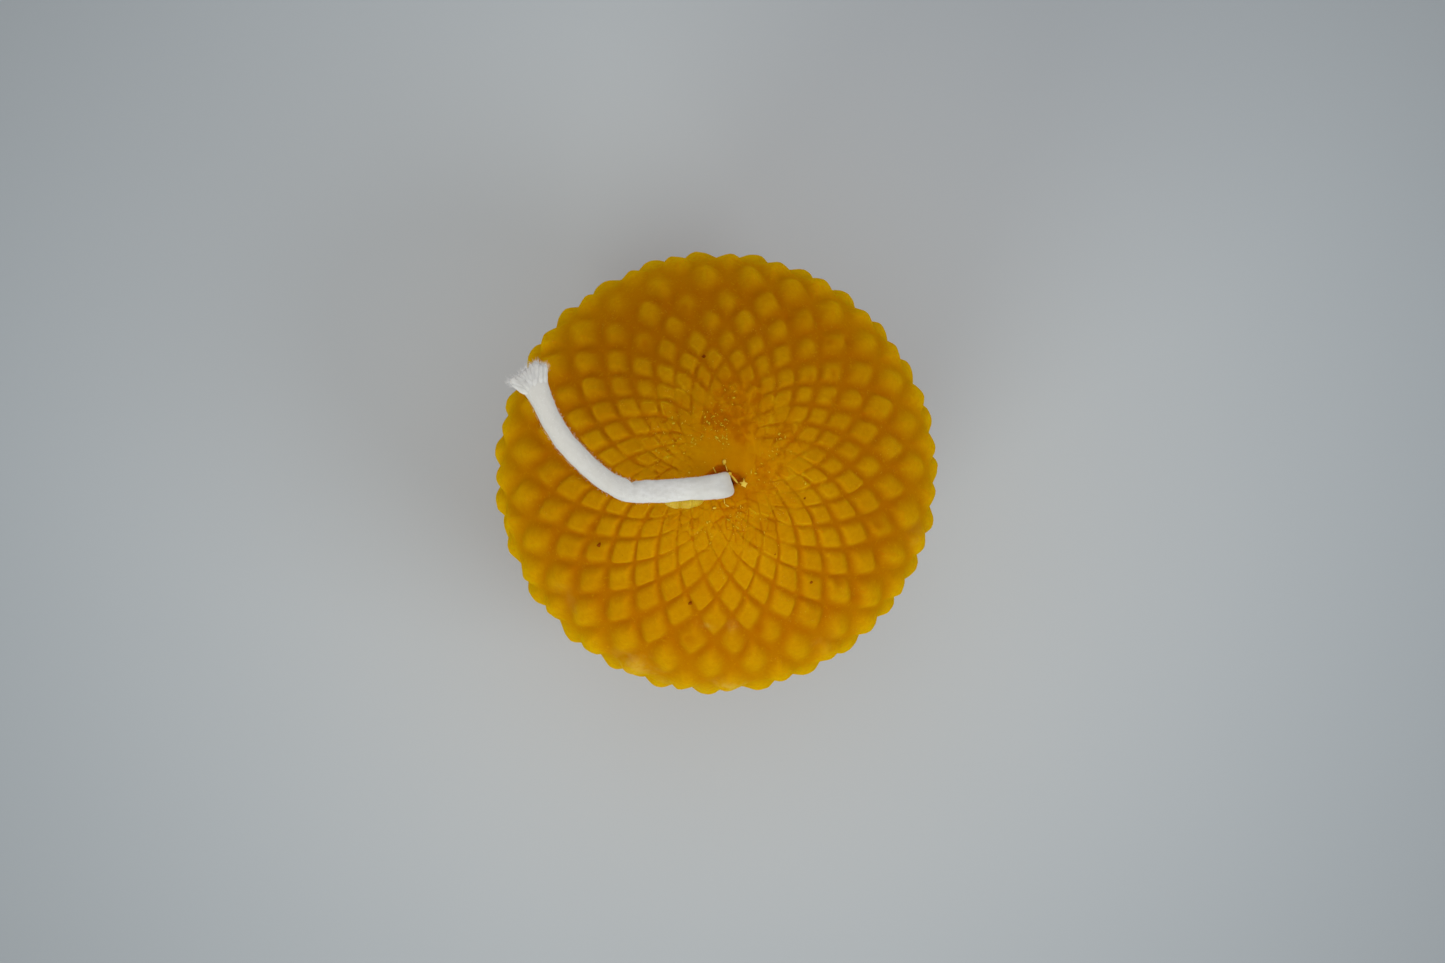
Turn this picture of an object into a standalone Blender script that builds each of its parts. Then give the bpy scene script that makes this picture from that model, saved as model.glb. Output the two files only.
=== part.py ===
"""Cast beeswax candle with a diamond relief and a braided cotton wick.

Frame: metres, +Z up, origin at the centre of the flat base, on the surface the
candle stands on.  The relief is a lattice of 27 right-hand and 27 left-hand
spirals, so each row holds 27 diamonds and the next row is turned by half a
diamond.  The wick runs through a channel in the wax from base to tip, folds
over where it leaves the wax, and rises to a frayed end.
"""
import bpy
from math import acos, asin, atan2, cos, pi, radians, sin, sqrt
from mathutils import Vector

# ---------------------------------------------------------------- dimensions
RADIUS = 0.030            # over the crests of the widest row
HEIGHT = 0.077            # base to the tip of the wax

# Outer profile, tip downward: arcs given by their radius and by the slope
# (sine of the angle from horizontal) or the radius at which each one ends.
TIP_ARC = 0.70 * RADIUS
TIP_END = 0.51 * RADIUS
FLANK_END = 0.90 * RADIUS
FLANK_SIN = 0.82
SIDE_ARC = 5.0 * RADIUS
SIDE_DROP = 0.95 * RADIUS
FOOT_ARC = 1.5 * RADIUS

# Relief lattice
SPIRALS = 27                      # each way
STEP = 2 * pi / SPIRALS           # angle of one diamond
ROW_SLOPE = STEP                  # row spacing along the surface / local radius
ROW0_RADIUS = 0.3225 * RADIUS     # radius of row 0
ROW0_TURN = radians(0.9)          # direction of a row-0 diamond's centre
FIRST_ROW = -2                    # innermost modelled row
LAND_DROP = 0.0012                # plain band left above the base
RELIEF = 0.0016                   # crest to groove on the side
TOP_FACE = 0.46                   # size of a diamond's top against the diamond
TOP_SINK = 0.10                   # how far the top's corners lie below its centre
BASE_EDGE = 0.0009                # chamfer round the poured base

# Wick and its channel
WICK_DIAMETER = 0.0029
CHANNEL_RADIUS = 0.00178
CHANNEL_SIDES = 18
MOUTH_RADIUS = 0.00245            # the broken-out mouth at the tip
MOUTH_CENTRE = (0.0002, -0.0019)
MOUTH_DEPTH = 0.0026
WICK_END_GAP = 0.0004             # trimmed end of the wick, above the base plane
WICK_SIDES_RES = 2

# Route of the wick after it leaves the wax, as (x, y, height above the tip)
WICK_EXIT = (-0.00015, -0.00250)
WICK_ROUTE = (
    (-0.00015, -0.00252, 0.0000),
    (-0.00030, -0.00258, 0.0014),
    (-0.00125, -0.00272, 0.0027),
    (-0.00289, -0.00294, 0.0033),
    (-0.00586, -0.00316, 0.0040),
    (-0.00881, -0.00340, 0.0052),
    (-0.01137, -0.00335, 0.0068),
    (-0.01379, -0.00250, 0.0088),
    (-0.01587, -0.00099, 0.0108),
    (-0.01770, 0.00069, 0.0126),
    (-0.01934, 0.00254, 0.0142),
    (-0.02073, 0.00469, 0.0154),
    (-0.02178, 0.00686, 0.0162),
    (-0.02271, 0.00884, 0.0168),
    (-0.02347, 0.01049, 0.0170),
)
DRIP_FROM, DRIP_TO = 0.0043, 0.0086   # along the free wick, from its mouth
DRIP_THICK = 0.0009
GAP = 0.0003


# ------------------------------------------------------------------- helpers
def clear_scene():
    for ob in list(bpy.data.objects):
        bpy.data.objects.remove(ob, do_unlink=True)


def principled(name, colour, roughness, subsurface=0.0):
    mat = bpy.data.materials.new(name)
    mat.use_nodes = True
    shader = mat.node_tree.nodes["Principled BSDF"]
    shader.inputs["Base Color"].default_value = (*colour, 1.0)
    shader.inputs["Roughness"].default_value = roughness
    shader.inputs["Metallic"].default_value = 0.0
    shader.inputs["Subsurface Weight"].default_value = subsurface
    mat.diffuse_color = (*colour, 1.0)
    return mat


def add_mesh(name, verts, faces, material, smooth_angle=None):
    mesh = bpy.data.meshes.new(name)
    mesh.from_pydata([tuple(v) for v in verts], [], faces)
    mesh.update()
    mesh.materials.append(material)
    if smooth_angle is not None:
        mesh.shade_smooth()
        mesh.set_sharp_from_angle(angle=smooth_angle)
    ob = bpy.data.objects.new(name, mesh)
    bpy.context.scene.collection.objects.link(ob)
    return ob


def profile_points(steps=2400):
    """The crest profile as (radius, z, slope angle), finely spaced, tip to base."""
    pts = []
    sin_tip = TIP_END / TIP_ARC
    flank_arc = (FLANK_END - TIP_END) / (FLANK_SIN - sin_tip)
    shoulder_arc = (RADIUS - FLANK_END) / (1.0 - FLANK_SIN)
    side_sin = SIDE_DROP / SIDE_ARC
    spans = (
        (TIP_ARC, 0.0, asin(sin_tip)),
        (flank_arc, asin(sin_tip), asin(FLANK_SIN)),
        (shoulder_arc, asin(FLANK_SIN), pi / 2),
        (SIDE_ARC, pi / 2, pi / 2 + asin(side_sin)),
        (FOOT_ARC, pi / 2 + asin(side_sin), pi),
    )
    r, z = 0.0, HEIGHT
    for arc, a0, a1 in spans:
        n = max(8, int(steps * arc * (a1 - a0) / (6 * RADIUS)))
        for i in range(n):
            a = a0 + (a1 - a0) * i / n
            pts.append((r + arc * (sin(a) - sin(a0)), z - arc * (cos(a0) - cos(a)), a))
            if pts[-1][1] <= 0.0:
                return pts
        r += arc * (sin(a1) - sin(a0))
        z -= arc * (cos(a0) - cos(a1))
    return pts


PROFILE = profile_points()


def row_table():
    """Row number at each profile point: one row for each ROW_SLOPE * radius of surface."""
    rows, u = [0.0], 0.0
    for (r0, z0, _), (r1, z1, _) in zip(PROFILE, PROFILE[1:]):
        ds = sqrt((r1 - r0) ** 2 + (z1 - z0) ** 2)
        u += ds / (ROW_SLOPE * max(0.5 * (r0 + r1), 0.0004))
        rows.append(u)
    i0 = next(i for i, p in enumerate(PROFILE) if p[0] >= ROW0_RADIUS)
    (ra, _, _), (rb, _, _) = PROFILE[i0 - 1], PROFILE[i0]
    f = (ROW0_RADIUS - ra) / (rb - ra)
    zero = rows[i0 - 1] + f * (rows[i0] - rows[i0 - 1])
    return [u - zero for u in rows]


ROWS = row_table()


def at_row(u):
    """(radius, z, slope angle) of the crest profile at row number u."""
    lo, hi = 0, len(ROWS) - 1
    while hi - lo > 1:
        mid = (lo + hi) // 2
        if ROWS[mid] <= u:
            lo = mid
        else:
            hi = mid
    f = (u - ROWS[lo]) / (ROWS[hi] - ROWS[lo])
    return tuple(a + f * (b - a) for a, b in zip(PROFILE[lo], PROFILE[hi]))


def relief_depth(r, z):
    """Crest-to-groove depth: full on the side, fading toward the worn tip."""
    rho = r / RADIUS
    if z < 0.5 * HEIGHT:
        rho = 1.0
    t = min(1.0, max(0.0, (rho - 0.12) / 0.80))
    return RELIEF * t ** 1.35


def surface_point(u, angle, sunk):
    """A point of the relief: on the crest profile at row u, sunk by a share of the depth."""
    r, z, a = at_row(u)
    d = relief_depth(r, z) * sunk
    r, z = r - d * sin(a), z - d * cos(a)
    return Vector((r * cos(angle), r * sin(angle), z))


def bridge(faces, ring_a, ring_b, phase_a, phase_b):
    """Triangles between two closed rings (a above or outside b), matched by angle."""
    na, nb = len(ring_a), len(ring_b)
    ia = ib = 0
    while ia < na or ib < nb:
        ta = phase_a[ia + 1] if ia < na else 9e9
        tb = phase_b[ib + 1] if ib < nb else 9e9
        if ta <= tb:
            faces.append((ring_a[ia % na], ring_b[ib % nb], ring_a[(ia + 1) % na]))
            ia += 1
        else:
            faces.append((ring_a[ia % na], ring_b[ib % nb], ring_b[(ib + 1) % nb]))
            ib += 1


def fractions(n, offset=0.0):
    return [(i + offset) / n for i in range(n + 1)]


# ---------------------------------------------------------------- candle body
def candle_body(material):
    verts, faces = [], []

    def put(v):
        verts.append(v)
        return len(verts) - 1

    # Last row whose diamonds end above the plain band at the base.
    last = FIRST_ROW
    while at_row(last + 2)[1] > LAND_DROP + 0.0006:
        last += 1

    def row_turn(row):
        return ROW0_TURN + (0.5 * STEP if row % 2 else 0.0)

    crossing = {}

    def cross(row, k):
        """Groove crossing k of a row, half a diamond on from centre k."""
        key = (row, k % SPIRALS)
        if key not in crossing:
            angle = row_turn(row) + (key[1] + 0.5) * STEP
            crossing[key] = put(surface_point(row, angle, 1.0))
        return crossing[key]

    def above(row, k):
        """The crossing of a neighbouring row that lies straight above or below centre k."""
        return k if row % 2 else k - 1

    for row in range(FIRST_ROW, last + 1):
        for k in range(SPIRALS):
            angle = row_turn(row) + k * STEP
            up = cross(row - 1, above(row, k))
            down = cross(row + 1, above(row, k))
            left, right = cross(row, k - 1), cross(row, k)
            centre = put(surface_point(row, angle, 0.0))
            half, t = 0.5 * STEP, TOP_FACE
            top = [
                put(surface_point(row - t, angle, TOP_SINK)),
                put(surface_point(row, angle - t * half, TOP_SINK)),
                put(surface_point(row + t, angle, TOP_SINK)),
                put(surface_point(row, angle + t * half, TOP_SINK)),
            ]
            outer = [up, left, down, right]
            for i in range(4):
                j = (i + 1) % 4
                faces.append((centre, top[i], top[j]))
                faces.append((top[i], outer[i], outer[j]))
                faces.append((top[i], outer[j], top[j]))

    # Cap over the smooth tip: from the lattice's zigzag edge to the mouth's rim.
    edge = []
    for k in range(SPIRALS):
        edge += [cross(FIRST_ROW - 1, above(FIRST_ROW, k)), cross(FIRST_ROW, k)]
    edge_phase = fractions(2 * SPIRALS)

    def ring(n, centre, radius, z, turn):
        out = []
        for i in range(n):
            a = turn + 2 * pi * i / n
            x, y = centre[0] + radius * cos(a), centre[1] + radius * sin(a)
            out.append(put(Vector((x, y, z(x, y) if callable(z) else z))))
        return out

    def crest_z(x, y):
        r = sqrt(x * x + y * y)
        return HEIGHT - (TIP_ARC - sqrt(TIP_ARC ** 2 - r * r))

    start = row_turn(FIRST_ROW)
    n_rim = 27
    mid = ring(n_rim, (0.5 * MOUTH_CENTRE[0], 0.5 * MOUTH_CENTRE[1]), 0.00375, crest_z, start)
    rim = ring(CHANNEL_SIDES, MOUTH_CENTRE, MOUTH_RADIUS, crest_z, start)
    bridge(faces, mid, edge, fractions(n_rim), edge_phase)
    bridge(faces, rim, mid, fractions(CHANNEL_SIDES), fractions(n_rim))

    # Mouth and channel, down to the base.
    def channel_centre(z):
        f = z / HEIGHT
        return (WICK_EXIT[0] * f, WICK_EXIT[1] * f)

    throat_z = HEIGHT - MOUTH_DEPTH
    rings = [rim]
    for z in (throat_z, 0.7 * HEIGHT, 0.35 * HEIGHT, 0.0):
        rings.append(ring(CHANNEL_SIDES, channel_centre(z), CHANNEL_RADIUS, z, start))
    for a, b in zip(rings, rings[1:]):
        for i in range(CHANNEL_SIDES):
            j = (i + 1) % CHANNEL_SIDES
            faces.append((a[i], a[j], b[j], b[i]))

    # Plain band under the relief, its chamfer and the flat poured base.
    n = 2 * SPIRALS
    low = []
    for k in range(SPIRALS):
        low += [cross(last + 1, above(last, k)), cross(last, k)]
    turn = row_turn(last)
    r_band, z_band, a_band = at_row(last + 1)
    r_foot = r_band - relief_depth(r_band, z_band) * sin(a_band)
    r_foot += (z_band - BASE_EDGE) * cos(a_band) * 0.5
    band = [
        put(Vector((r_foot * cos(turn + i * STEP / 2), r_foot * sin(turn + i * STEP / 2), BASE_EDGE)))
        for i in range(n)
    ]
    for i in range(n):
        j = (i + 1) % n
        faces.append((low[i], band[i], low[j]))
        faces.append((low[j], band[i], band[j]))
    r_base = r_foot - BASE_EDGE
    base = [
        put(Vector((r_base * cos(turn + i * STEP / 2), r_base * sin(turn + i * STEP / 2), 0.0)))
        for i in range(n)
    ]
    for i in range(n):
        j = (i + 1) % n
        faces.append((band[i], base[i], base[j], band[j]))

    # The base face in two flat halves that meet the channel's lowest ring.
    bore = rings[-1]
    shift = (turn - start) / (2 * pi)

    def nearest(angle):
        best, pick = 9e9, 0
        for i in range(CHANNEL_SIDES):
            a = start + 2 * pi * i / CHANNEL_SIDES - angle
            a = abs((a + pi) % (2 * pi) - pi)
            if a < best:
                best, pick = a, i
        return pick

    halves = [0, n // 2]
    cuts = [nearest(turn + h * STEP / 2) for h in halves]
    for s in range(2):
        o0, o1 = halves[s], halves[(s + 1) % 2] + (n if s else 0)
        i0, i1 = cuts[s], cuts[(s + 1) % 2]
        if i1 <= i0:
            i1 += CHANNEL_SIDES
        outer = [base[i % n] for i in range(o0, o1 + 1)]
        inner = [bore[i % CHANNEL_SIDES] for i in range(i0, i1 + 1)]
        faces.append(tuple(inner + outer[::-1]))
    return add_mesh("candle_body", verts, faces, material, radians(24))


# ----------------------------------------------------------------------- wick
def smooth_curve(points, spacing):
    """Evenly spaced points on a smooth (centripetal) curve through the given ones."""
    pts = [Vector(p) for p in points]
    pts = [2 * pts[0] - pts[1]] + pts + [2 * pts[-1] - pts[-2]]
    fine = []
    for p0, p1, p2, p3 in zip(pts, pts[1:], pts[2:], pts[3:]):
        t0 = 0.0
        t1 = t0 + sqrt((p1 - p0).length)
        t2 = t1 + sqrt((p2 - p1).length)
        t3 = t2 + sqrt((p3 - p2).length)
        for i in range(24):
            t = t1 + (t2 - t1) * i / 24
            a1 = (t1 - t) / (t1 - t0) * p0 + (t - t0) / (t1 - t0) * p1
            a2 = (t2 - t) / (t2 - t1) * p1 + (t - t1) / (t2 - t1) * p2
            a3 = (t3 - t) / (t3 - t2) * p2 + (t - t2) / (t3 - t2) * p3
            b1 = (t2 - t) / (t2 - t0) * a1 + (t - t0) / (t2 - t0) * a2
            b2 = (t3 - t) / (t3 - t1) * a2 + (t - t1) / (t3 - t1) * a3
            fine.append((t2 - t) / (t2 - t1) * b1 + (t - t1) / (t2 - t1) * b2)
    fine.append(pts[-2])
    along = [0.0]
    for a, b in zip(fine, fine[1:]):
        along.append(along[-1] + (b - a).length)
    n = max(2, round(along[-1] / spacing))
    out, j = [], 0
    for i in range(n + 1):
        s = along[-1] * i / n
        while j < len(along) - 2 and along[j + 1] < s:
            j += 1
        f = (s - along[j]) / (along[j + 1] - along[j])
        out.append(fine[j].lerp(fine[j + 1], min(1.0, f)))
    return out


def free_route():
    return [Vector((x, y, HEIGHT + h)) for x, y, h in WICK_ROUTE]


def wick_centreline():
    """From the trimmed end in the base, up the channel and along the free part."""
    core = []
    for i in range(7):
        z = WICK_END_GAP + (HEIGHT - 0.004 - WICK_END_GAP) * i / 6
        f = z / HEIGHT
        core.append(Vector((WICK_EXIT[0] * f, WICK_EXIT[1] * f, z)))
    free = smooth_curve([core[-1]] + free_route(), 0.0011)
    return core[:-1] + free


def wick(material):
    path = wick_centreline()
    curve = bpy.data.curves.new("wick", "CURVE")
    curve.dimensions = "3D"
    curve.bevel_depth = 0.5 * WICK_DIAMETER
    curve.bevel_resolution = WICK_SIDES_RES
    curve.use_fill_caps = True
    curve.twist_mode = "MINIMUM"
    spline = curve.splines.new("POLY")
    spline.points.add(len(path) - 1)
    for p, v in zip(spline.points, path):
        p.co = (*v, 1.0)
    curve.materials.append(material)
    ob = bpy.data.objects.new("wick", curve)
    bpy.context.scene.collection.objects.link(ob)
    return ob


# ----------------------------------------------------- wax bead on the wick
def wick_wax_bead(material):
    """A small run of wax stuck along the lower side of the free wick."""
    path = smooth_curve(free_route(), 0.0002)
    along = [0.0]
    for a, b in zip(path, path[1:]):
        along.append(along[-1] + (b - a).length)

    def at(s):
        j = 0
        while j < len(along) - 2 and along[j + 1] < s:
            j += 1
        f = (s - along[j]) / (along[j + 1] - along[j])
        return path[j].lerp(path[j + 1], f), (path[j + 1] - path[j]).normalized()

    inner = 0.5 * WICK_DIAMETER + GAP
    stations, around = 7, 7
    a_mid, a_half = radians(-62), radians(52)
    verts, faces, rings = [], [], []
    for i in range(stations):
        t = i / (stations - 1)
        p, tan = at(DRIP_FROM + (DRIP_TO - DRIP_FROM) * t)
        side = Vector((0, 0, 1)).cross(tan).normalized()
        up = tan.cross(side).normalized()
        if side.y < 0:
            side, up = side, up
        swell = 0.30 + 0.70 * sqrt(max(0.0, 1.0 - (2 * t - 1) ** 2))
        ring = []
        for k in range(around):
            w = 2 * k / (around - 1) - 1
            a = a_mid + a_half * swell * w
            r = inner + DRIP_THICK * swell * max(0.18, 1 - w * w)
            ring.append(len(verts))
            verts.append(p + r * (cos(a) * -side * (1 if side.y > 0 else -1) + sin(a) * up))
        for k in reversed(range(around)):
            w = 2 * k / (around - 1) - 1
            a = a_mid + a_half * swell * w
            ring.append(len(verts))
            verts.append(p + inner * (cos(a) * -side * (1 if side.y > 0 else -1) + sin(a) * up))
        rings.append(ring)
    n = 2 * around
    for a, b in zip(rings, rings[1:]):
        for k in range(n):
            j = (k + 1) % n
            faces.append((a[k], b[k], b[j], a[j]))
    faces.append(tuple(rings[0]))
    faces.append(tuple(reversed(rings[-1])))
    return add_mesh("wick_wax_bead", verts, faces, material, radians(50))


def outward(ob):
    """Turn a closed mesh's faces outward if they were built facing in."""
    mesh = ob.data
    volume = 0.0
    for poly in mesh.polygons:
        v = [mesh.vertices[i].co for i in poly.vertices]
        for b, c in zip(v[1:], v[2:]):
            volume += v[0].dot(b.cross(c)) / 6
    if volume < 0:
        mesh.flip_normals()


def main():
    clear_scene()
    wax = principled("beeswax", (0.60, 0.27, 0.006), 0.42, 0.25)
    cotton = principled("wick_cotton", (0.80, 0.80, 0.77), 0.9)
    pale = principled("beeswax_bead", (0.72, 0.56, 0.06), 0.35, 0.2)
    body = candle_body(wax)
    outward(body)
    wick(cotton)
    bead = wick_wax_bead(pale)
    outward(bead)


main()
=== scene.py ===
"""Cast beeswax candle with a diamond relief and a braided cotton wick: the looks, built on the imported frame.

Metres, +Z up, origin at the centre of the base.  The wax is one closed mesh on a lattice whose edges
follow the 27 + 27 spiral grooves, so that each groove is a crease of the mesh.
"""

from math import acos, asin, atan2, cos, pi, radians, sin, sqrt

import bpy
import numpy as np
from mathutils import Matrix, Vector


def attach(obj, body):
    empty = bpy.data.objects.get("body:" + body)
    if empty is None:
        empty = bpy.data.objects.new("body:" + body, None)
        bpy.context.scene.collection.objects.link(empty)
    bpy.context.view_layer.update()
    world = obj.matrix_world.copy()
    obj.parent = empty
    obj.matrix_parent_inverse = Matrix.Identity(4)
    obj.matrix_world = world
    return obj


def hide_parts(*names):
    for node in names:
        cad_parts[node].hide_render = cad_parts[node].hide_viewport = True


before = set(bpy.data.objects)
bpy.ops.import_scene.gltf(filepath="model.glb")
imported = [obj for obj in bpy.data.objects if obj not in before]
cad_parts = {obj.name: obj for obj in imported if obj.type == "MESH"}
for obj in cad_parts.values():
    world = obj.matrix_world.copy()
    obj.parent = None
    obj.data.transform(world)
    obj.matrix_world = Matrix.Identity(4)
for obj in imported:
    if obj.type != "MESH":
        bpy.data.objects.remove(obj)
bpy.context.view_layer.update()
scene = bpy.context.scene
scene.view_settings.view_transform = "Standard"
scene.view_settings.look = "None"
scene.view_settings.exposure = 0.0
scene.view_settings.gamma = 1.0

MM = 0.001
RADIUS = 0.030
HEIGHT = 0.077

# ------------------------------------------------------------------- camera
CAM_AT = Vector((-0.00885, -0.01279, 0.447))
CAM_TO = Vector((0.00069, -0.00110, 0.046435))


def make_camera():
    data = bpy.data.cameras.new("camera")
    data.sensor_fit = "HORIZONTAL"
    data.sensor_width = 36.0
    data.lens = 2975.55 / 1445.0 * 36.0
    data.clip_start = 0.01
    data.clip_end = 20.0
    data.dof.use_dof = False
    ob = bpy.data.objects.new("camera", data)
    scene.collection.objects.link(ob)
    f = (CAM_TO - CAM_AT).normalized()
    r = f.cross(Vector((0, 1, 0))).normalized()
    u = r.cross(f)
    m = Matrix((r, u, -f)).transposed().to_4x4()
    m.translation = CAM_AT
    ob.matrix_world = m
    scene.camera = ob


make_camera()


# ------------------------------------------------------------------ helpers
def link(ob):
    scene.collection.objects.link(ob)
    return ob


def mesh_from(name, verts, tris, material=None, quads=None, smooth=True, attrs=None):
    """A mesh object from numpy arrays of points and of triangles (and quads)."""
    verts = np.asarray(verts, dtype=np.float64)
    me = bpy.data.meshes.new(name)
    tris = np.zeros((0, 3), int) if tris is None else np.asarray(tris, dtype=np.int64).reshape(-1, 3)
    quads = np.zeros((0, 4), int) if quads is None else np.asarray(quads, dtype=np.int64).reshape(-1, 4)
    loops = np.concatenate([tris.ravel(), quads.ravel()])
    me.vertices.add(len(verts))
    me.vertices.foreach_set("co", verts.astype(np.float32).ravel())
    me.loops.add(len(loops))
    me.loops.foreach_set("vertex_index", loops.astype(np.int32))
    n3, n4 = len(tris), len(quads)
    starts = np.concatenate([np.arange(n3) * 3, n3 * 3 + np.arange(n4) * 4])
    me.polygons.add(n3 + n4)
    me.polygons.foreach_set("loop_start", starts.astype(np.int32))
    me.update(calc_edges=True)
    me.validate()
    if smooth:
        me.shade_smooth()
    if material is not None:
        me.materials.append(material)
    for key, values in (attrs or {}).items():
        values = np.asarray(values, dtype=np.float32)
        at = me.attributes.new(key, "FLOAT", "POINT")
        at.data.foreach_set("value", values)
    return link(bpy.data.objects.new(name, me))


def hash01(*keys):
    """Deterministic value in 0..1 for whole-number keys (arrays or numbers)."""
    h = np.uint64(0x9E3779B97F4A7C15)
    with np.errstate(over="ignore"):
        for k in keys:
            k = np.asarray(k).astype(np.int64).astype(np.uint64)
            h = (h ^ k) * np.uint64(0xBF58476D1CE4E5B9)
            h = h ^ (h >> np.uint64(29))
            h = h * np.uint64(0x94D049BB133111EB)
            h = h ^ (h >> np.uint64(31))
    return (h >> np.uint64(11)).astype(np.float64) / float(1 << 53)


def noise3(x, y, z, seed):
    """Smooth value noise, -1..1."""
    xi, yi, zi = np.floor(x), np.floor(y), np.floor(z)
    fx, fy, fz = x - xi, y - yi, z - zi
    sx, sy, sz = (f * f * f * (f * (f * 6 - 15) + 10) for f in (fx, fy, fz))
    out = 0.0
    for dx in (0, 1):
        wx = sx if dx else 1 - sx
        for dy in (0, 1):
            wy = sy if dy else 1 - sy
            for dz in (0, 1):
                wz = sz if dz else 1 - sz
                out = out + wx * wy * wz * hash01(xi + dx, yi + dy, zi + dz, seed)
    return 2 * out - 1


def fbm(p, scale, seed, octaves=3, gain=0.5):
    """Noise of points p (n, 3) in metres, largest feature `scale` metres."""
    out, amp, total = 0.0, 1.0, 0.0
    q = p / scale
    for i in range(octaves):
        out = out + amp * noise3(q[:, 0] + 7.3 * i, q[:, 1] - 3.1 * i, q[:, 2] + 1.7 * i, seed + i)
        total += amp
        amp *= gain
        q = q * 2.03
    return out / total


def smoothstep(x, lo=0.0, hi=1.0):
    t = np.clip((x - lo) / (hi - lo), 0, 1)
    return t * t * (3 - 2 * t)


# ------------------------------------------------------------ node materials
class Nodes:
    """Short hand for building a node tree."""

    def __init__(self, name):
        self.mat = bpy.data.materials.new(name)
        self.mat.use_nodes = True
        self.tree = self.mat.node_tree
        self.shader = self.tree.nodes["Principled BSDF"]

    def add(self, kind, **settings):
        node = self.tree.nodes.new(kind)
        for key, value in settings.items():
            setattr(node, key, value)
        return node

    def join(self, a, b):
        self.tree.links.new(a, b)

    def put(self, socket, value):
        if isinstance(value, bpy.types.NodeSocket):
            self.join(value, socket)
        else:
            socket.default_value = value

    def coords(self):
        return self.add("ShaderNodeTexCoord").outputs["Object"]

    def attr(self, name):
        return self.add("ShaderNodeAttribute", attribute_name=name).outputs["Fac"]

    def math(self, op, a, b=0.0, c=None, clamp=False):
        node = self.add("ShaderNodeMath", operation=op, use_clamp=clamp)
        self.put(node.inputs[0], a)
        self.put(node.inputs[1], b)
        if c is not None:
            self.put(node.inputs[2], c)
        return node.outputs[0]

    def scaled(self, vec, scale):
        node = self.add("ShaderNodeVectorMath", operation="MULTIPLY")
        self.put(node.inputs[0], vec)
        node.inputs[1].default_value = scale
        return node.outputs[0]

    def noise(self, vec, scale, detail=3.0, rough=0.55, distortion=0.0):
        node = self.add("ShaderNodeTexNoise")
        self.put(node.inputs["Vector"], vec)
        node.inputs["Scale"].default_value = scale
        node.inputs["Detail"].default_value = detail
        node.inputs["Roughness"].default_value = rough
        node.inputs["Distortion"].default_value = distortion
        return node.outputs[0]

    def voronoi(self, vec, scale, feature="F1", output="Distance", randomness=1.0):
        node = self.add("ShaderNodeTexVoronoi", feature=feature)
        self.put(node.inputs["Vector"], vec)
        node.inputs["Scale"].default_value = scale
        node.inputs["Randomness"].default_value = randomness
        return node.outputs[output]

    def ramp(self, fac, stops, interpolation="LINEAR"):
        node = self.add("ShaderNodeValToRGB")
        cr = node.color_ramp
        cr.interpolation = interpolation
        while len(cr.elements) < len(stops):
            cr.elements.new(0.5)
        for el, (pos, col) in zip(cr.elements, stops):
            el.position = pos
            col = col if isinstance(col, (tuple, list)) else (col, col, col)
            el.color = (*col, 1.0)
        self.put(node.inputs[0], fac)
        return node.outputs[0]

    def span(self, fac, lo, hi, a=0.0, b=1.0):
        node = self.add("ShaderNodeMapRange", interpolation_type="SMOOTHSTEP")
        self.put(node.inputs["Value"], fac)
        node.inputs["From Min"].default_value = lo
        node.inputs["From Max"].default_value = hi
        node.inputs["To Min"].default_value = a
        node.inputs["To Max"].default_value = b
        return node.outputs[0]

    def mix(self, fac, a, b, blend="MIX"):
        node = self.add("ShaderNodeMix", data_type="RGBA", blend_type=blend)
        self.put(node.inputs[0], fac)
        for socket, value in ((node.inputs[6], a), (node.inputs[7], b)):
            if isinstance(value, bpy.types.NodeSocket):
                self.join(value, socket)
            else:
                socket.default_value = (*value, 1.0)
        return node.outputs[2]

    def bump(self, height, strength, distance, normal=None):
        node = self.add("ShaderNodeBump")
        node.inputs["Strength"].default_value = strength
        node.inputs["Distance"].default_value = distance
        self.put(node.inputs["Height"], height)
        if normal is not None:
            self.join(normal, node.inputs["Normal"])
        return node.outputs[0]


# ---------------------------------------------------------------- wick route
WICK_DIAMETER = 0.0029
WICK_EXIT = (-0.00015, -0.00250)
WICK_END_GAP = 0.0004
WICK_ROUTE = (
    (-0.00015, -0.00252, 0.0000),
    (-0.00030, -0.00258, 0.0014),
    (-0.00125, -0.00272, 0.0027),
    (-0.00289, -0.00294, 0.0033),
    (-0.00586, -0.00316, 0.0040),
    (-0.00881, -0.00340, 0.0052),
    (-0.01137, -0.00335, 0.0068),
    (-0.01379, -0.00250, 0.0088),
    (-0.01587, -0.00099, 0.0108),
    (-0.01770, 0.00069, 0.0126),
    (-0.01934, 0.00254, 0.0142),
    (-0.02073, 0.00469, 0.0154),
    (-0.02178, 0.00686, 0.0162),
    (-0.02271, 0.00884, 0.0168),
    (-0.02347, 0.01049, 0.0170),
)


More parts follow.
